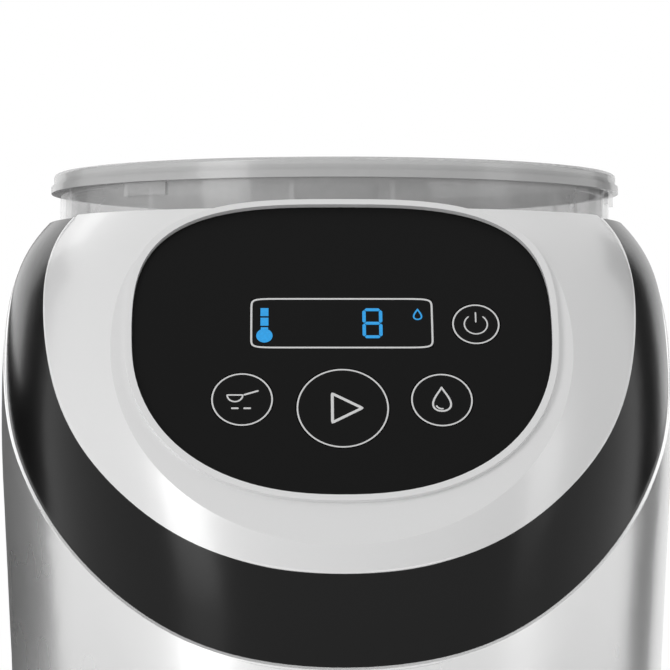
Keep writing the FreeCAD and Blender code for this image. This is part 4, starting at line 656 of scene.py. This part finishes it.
class FormulaMakerTones(bpy.types.PropertyGroup):
    silver: bpy.props.FloatProperty(
        name="Silver", description="Grey of the shell's paint",
        default=0.92, min=0, max=1, subtype="FACTOR")
    pearl: bpy.props.FloatProperty(
        name="Pearl", description="Grey of the bezel's paint",
        default=0.93, min=0, max=1, subtype="FACTOR")
    band: bpy.props.FloatProperty(
        name="Band", description="Grey of the gloss band",
        default=0.03, min=0, max=1, subtype="FACTOR")
    panel: bpy.props.FloatProperty(
        name="Panel", description="Grey of the control panel",
        default=0.06, min=0, max=1, subtype="FACTOR")
    lid: bpy.props.FloatProperty(
        name="Lid", description="Grey of the drum's lid",
        default=0.84, min=0, max=1, subtype="FACTOR")
    drum_opacity: bpy.props.FloatProperty(
        name="Drum opacity", description="How much the clear drum hides",
        default=0.28, min=0, max=1, subtype="FACTOR")
    glow: bpy.props.FloatVectorProperty(
        name="Display colour", description="Colour of the lit marks",
        default=(0.09, 0.57, 0.83), size=3, subtype="COLOR_GAMMA")


class FormulaMakerSizes(bpy.types.PropertyGroup):
    ink_width: bpy.props.FloatProperty(
        name="Line width", description="Width of the printed lines, in millimetres",
        default=0.5, min=0.1, max=2)
    ink_height: bpy.props.FloatProperty(
        name="Line height", description="How far printed lines stand proud, in millimetres",
        default=0.06, min=0.01, max=0.5)
    edge_radius: bpy.props.FloatProperty(
        name="Edge radius", description="Radius of the bright casing edges, in millimetres",
        default=0.4, min=0.1, max=1)


class PieceMaker:
    """What all the operators share."""
    bl_options = {"REGISTER", "UNDO"}

    @property
    def sizes(self):
        return bpy.context.scene.formula_sizes

    @property
    def tones(self):
        return bpy.context.scene.formula_tones


class FORMULA_OT_finishes(PieceMaker, bpy.types.Operator):
    """Give every CAD node the finish of its material slot, or its own"""
    bl_idname = "formula.finishes"
    bl_label = "Finishes"

    def execute(self, context):
        make_finishes(self.tones)
        for node, piece in NODES.items():
            finish = FINISHES[OWN_FINISH.get(node, SLOTS[node])]
            if not piece.data.materials:
                piece.data.materials.append(finish)
            for material_slot in piece.material_slots:
                material_slot.material = finish
        return {"FINISHED"}


class FORMULA_OT_display(PieceMaker, bpy.types.Operator):
    """Make the display's frame line, thermometer, digit and drop"""
    bl_idname = "formula.display"
    bl_label = "Display marks"

    def execute(self, context):
        size = self.sizes
        line = superellipse(FRAME_HALF_WIDTH, FRAME_HALF_HEIGHT, FRAME_FULLNESS, 0.0, FRAME_UP,
                            count=240)
        line = stroke(line, size.ink_width + FRAME_EXTRA_WIDTH, size.ink_height)
        add_piece("display_frame_line", [line], "ink", "body", SHARP_INK)
        outlines = [straight([(x0, y0), (x1, y0), (x1, y1), (x0, y1)], 6, closed=True)
                    for x0, x1, y0, y1 in THERMOMETER_BARS]
        outlines.append(ring_line(BULB_RADIUS, BULB_ACROSS, BULB_UP, 48))
        thermometer = [tablet(outline, GLOW_HEIGHT) for outline in outlines]
        add_piece("thermometer", thermometer, "glow", "body")
        level = [(DIGIT_LEFT + DIGIT_GAP, y, DIGIT_RIGHT - DIGIT_GAP, y)
                 for y in (DIGIT_HIGH, DIGIT_MIDDLE, DIGIT_LOW)]
        upright = [(x, low + DIGIT_GAP, x, high - DIGIT_GAP)
                   for low, high in ((DIGIT_MIDDLE, DIGIT_HIGH), (DIGIT_LOW, DIGIT_MIDDLE))
                   for x in (DIGIT_LEFT, DIGIT_RIGHT)]
        bars = [tablet(bar_line(*bar, DIGIT_BAR, DIGIT_TIP), GLOW_HEIGHT)
                for bar in level + upright]
        add_piece("digit_eight", bars, "glow", "body")
        drop = drop_line(UNIT_DROP_HEIGHT, UNIT_DROP_ACROSS, UNIT_DROP_UP)
        drop = stroke(drop, UNIT_DROP_LINE, GLOW_HEIGHT)
        add_piece("unit_drop", [drop], "glow", "body", SHARP_INK)
        return {"FINISHED"}


class FORMULA_OT_keys(PieceMaker, bpy.types.Operator):
    """Make the printed rings and symbols of the four keys"""
    bl_idname = "formula.keys"
    bl_label = "Key rings and symbols"

    def execute(self, context):
        size = self.sizes
        for node, body, x, y, radius in KEYS:
            line = ring_line(radius - RING_INSET, x, y, RING_COUNT)
            ring = stroke(line, size.ink_width, size.ink_height)
            add_piece(node + "_ring", [ring], "ink", body, SHARP_INK)
        for _, body, x, y, _ in KEYS:
            lines = [stroke(line, width, size.ink_height, closed)
                     for line, closed, width in SYMBOLS[body](x, y)]
            add_piece(body + "_symbol", lines, "ink", body, SHARP_INK)
        return {"FINISHED"}


class FORMULA_OT_edges(PieceMaker, bpy.types.Operator):
    """Make the rounded edges where the shell and the bezel meet the black band, with a painted
    highlight
    """
    bl_idname = "formula.edges"
    bl_label = "Casing edges"

    def execute(self, context):
        radius = self.sizes.edge_radius
        for name, nose, slope, side in SEAMS:
            path, normal = seam_path(nose, slope)
            path = path - normal * (radius + SEAM_SINK)
            path[:, 2] += side * radius
            edge = cord_along(path, radius, normal)
            # The edges' paler paint is a painted highlight
            add_piece(name, [edge], "silver_edge", "body", SHARP_CORD)
        return {"FINISHED"}


class FORMULA_OT_drum(PieceMaker, bpy.types.Operator):
    """Make the ribs and the rim of the drum's wall, and the vane tips and cap of its stirrer"""
    bl_idname = "formula.drum"
    bl_label = "Drum details"

    def execute(self, context):
        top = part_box("powder_container")[1].z / MM
        rib = superellipse(RIB_HALF_WIDTH, RIB_HALF_HEIGHT, RIB_FULLNESS, RIB_RADIUS,
                           top - RIB_BELOW, count=28)
        ribs = [turned(rib, angle, angle + RIB_SPAN, 4) for angle in RIB_ANGLES]
        add_piece("drum_ribs", ribs, "clear", "container")
        rim = superellipse(RIM_HALF_WIDTH, RIM_HALF_HEIGHT, RIM_FULLNESS, RIM_RADIUS,
                           top - RIM_BELOW)
        add_piece("drum_rim", [turned(rim)], "clear", "container")
        wheel_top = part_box("stirring_wheel")[1].z / MM
        angles = [FIRST_VANE + 360 / VANES * index for index in range(VANES)]
        tips = [upright_blade(VANE_TIP, wheel_top, angle, VANE_HALF_THICKNESS)
                for angle in angles]
        add_piece("vane_tips", tips, "vane", "stirrer")
        cap = superellipse(CAP_HALF_WIDTH, CAP_HALF_HEIGHT, CAP_FULLNESS, CAP_RADIUS,
                           wheel_top + CAP_RISE)
        add_piece("tower_cap", [turned(cap)], "vane", "stirrer")
        return {"FINISHED"}


class FORMULA_OT_spring(PieceMaker, bpy.types.Operator):
    """Give the tank valve's spring its own copy of its mesh"""
    bl_idname = "formula.spring"
    bl_label = "Valve spring"

    def execute(self, context):
        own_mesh(NODES["valve_spring"])
        return {"FINISHED"}


def make_floor():
    """A round floor: flat in the middle, and sinking with the sixth power of the radius."""
    share = np.linspace(0, 1, 24)[:, None]
    angle = np.linspace(0, 2 * math.pi, 96, endpoint=False)
    x, y = FLOOR_RADIUS * share * np.cos(angle), FLOOR_RADIUS * share * np.sin(angle)
    z = np.broadcast_to(-FLOOR_DROP - FLOOR_SAG * share ** 6, x.shape)
    floor = put_in_scene("floor", mesh_of("floor", [surface(np.stack([x, y, z], -1))]))
    material, n = start_finish("pale_floor")
    base = n.tint(n.noise(3.0, detail=4.0), linear(0.93), linear(0.95))
    n.principled(Base_Color=base, Roughness=n.noise(40.0) * 0.1 + 0.6)
    floor.data.materials.append(material)


def make_card(name, start, end, material):
    """A thin dark wall on an arc round the object, which only reflections show."""
    turn = np.radians(np.linspace(start, end, 24))
    height = np.linspace(CARD_LOW, CARD_HIGH, 12)[:, None]
    inner = np.stack(np.broadcast_arrays(CARD_RADIUS * np.cos(turn), CARD_RADIUS * np.sin(turn),
                                         height), -1)
    outer = inner * (CARD_THICKNESS, CARD_THICKNESS, 1.0)
    walls = surface(np.concatenate([inner, outer[:, ::-1]], 1))
    card = put_in_scene(name, mesh_of(name, [walls]))
    card.data.materials.append(material)
    card.visible_camera = card.visible_diffuse = False
    card.visible_shadow = card.visible_transmission = False


def make_world():
    """Even light, and white where the camera, a reflection or clear plastic looks at it."""
    world = bpy.data.worlds.new("white_surroundings")
    world.use_nodes = True
    n = Nodes(world.node_tree)
    path = n.add("ShaderNodeLightPath", {})
    camera, glossy, through = (Value(n, path.outputs[f"Is {ray} Ray"])
                               for ray in ("Camera", "Glossy", "Transmission"))
    strength = (camera + glossy + through).clamped() * (1 - WORLD_LIGHT) + WORLD_LIGHT
    sky = n.make("ShaderNodeBackground", {}, Color=(1, 1, 1, 1), Strength=strength)
    n.tree.links.new(sky.socket, n.add("ShaderNodeOutputWorld", {}).inputs["Surface"])
    bpy.context.scene.world = world


def make_lamp(name, place, power, width, height):
    lamp = bpy.data.lights.new(name, "AREA")
    lamp.shape, lamp.size, lamp.size_y, lamp.energy = "RECTANGLE", width, height, power
    thing = put_in_scene(name, lamp)
    thing.location = place
    way = Vector(LAMP_AIM) - Vector(place)
    thing.rotation_euler = way.to_track_quat("-Z", "Y").to_euler()


def make_camera():
    camera = bpy.data.cameras.new("camera")
    camera.sensor_width, camera.lens = CAMERA_SENSOR, CAMERA_LENS
    camera.clip_start, camera.clip_end = CAMERA_CLIP
    stand = put_in_scene("camera", camera)
    azimuth = math.radians(CAMERA_AZIMUTH)
    stand.location = (math.sin(azimuth) * CAMERA_DISTANCE, -math.cos(azimuth) * CAMERA_DISTANCE,
                      CAMERA_HEIGHT)
    stand.rotation_euler = (math.radians(90.0 + CAMERA_PITCH), 0.0, azimuth)
    bpy.context.scene.camera = stand


class FORMULA_OT_stage(PieceMaker, bpy.types.Operator):
    """Make the floor, the white surroundings, the lamps and the camera"""
    bl_idname = "formula.stage"
    bl_label = "Stage"

    def execute(self, context):
        make_floor()
        dark = moulded_finish("dark_card", linear(0.05), roughness=0.9)
        for name, start, end in CARDS:
            make_card(name, start, end, dark)
        make_world()
        for lamp in LAMPS:
            make_lamp(*lamp)
        make_camera()
        return {"FINISHED"}


class FORMULA_PT_panel(bpy.types.Panel):
    """Sidebar panel that lists the tones, sizes and operators"""
    bl_label = "Formula Maker"
    bl_idname = "FORMULA_PT_panel"
    bl_space_type = "VIEW_3D"
    bl_region_type = "UI"
    bl_category = "Formula Maker"

    def draw(self, context):
        scene = context.scene
        for group, kind in ((scene.formula_tones, FormulaMakerTones),
                            (scene.formula_sizes, FormulaMakerSizes)):
            for name in kind.__annotations__:
                self.layout.prop(group, name)
        for maker in MAKERS:
            self.layout.operator(maker.bl_idname)


MAKERS = (FORMULA_OT_finishes, FORMULA_OT_display, FORMULA_OT_keys, FORMULA_OT_edges,
          FORMULA_OT_drum, FORMULA_OT_spring, FORMULA_OT_stage)
CLASSES = (FormulaMakerTones, FormulaMakerSizes, *MAKERS, FORMULA_PT_panel)


def register():
    for kind in CLASSES:
        bpy.utils.register_class(kind)
    bpy.types.Scene.formula_tones = bpy.props.PointerProperty(type=FormulaMakerTones)
    bpy.types.Scene.formula_sizes = bpy.props.PointerProperty(type=FormulaMakerSizes)


def unregister():
    del bpy.types.Scene.formula_tones, bpy.types.Scene.formula_sizes
    for kind in reversed(CLASSES):
        bpy.utils.unregister_class(kind)


def main():
    register()
    bpy.context.scene.view_settings.view_transform = "Standard"
    for maker in MAKERS:
        group, name = maker.bl_idname.split(".")
        getattr(getattr(bpy.ops, group), name)()


if __name__ == "__main__":
    main()
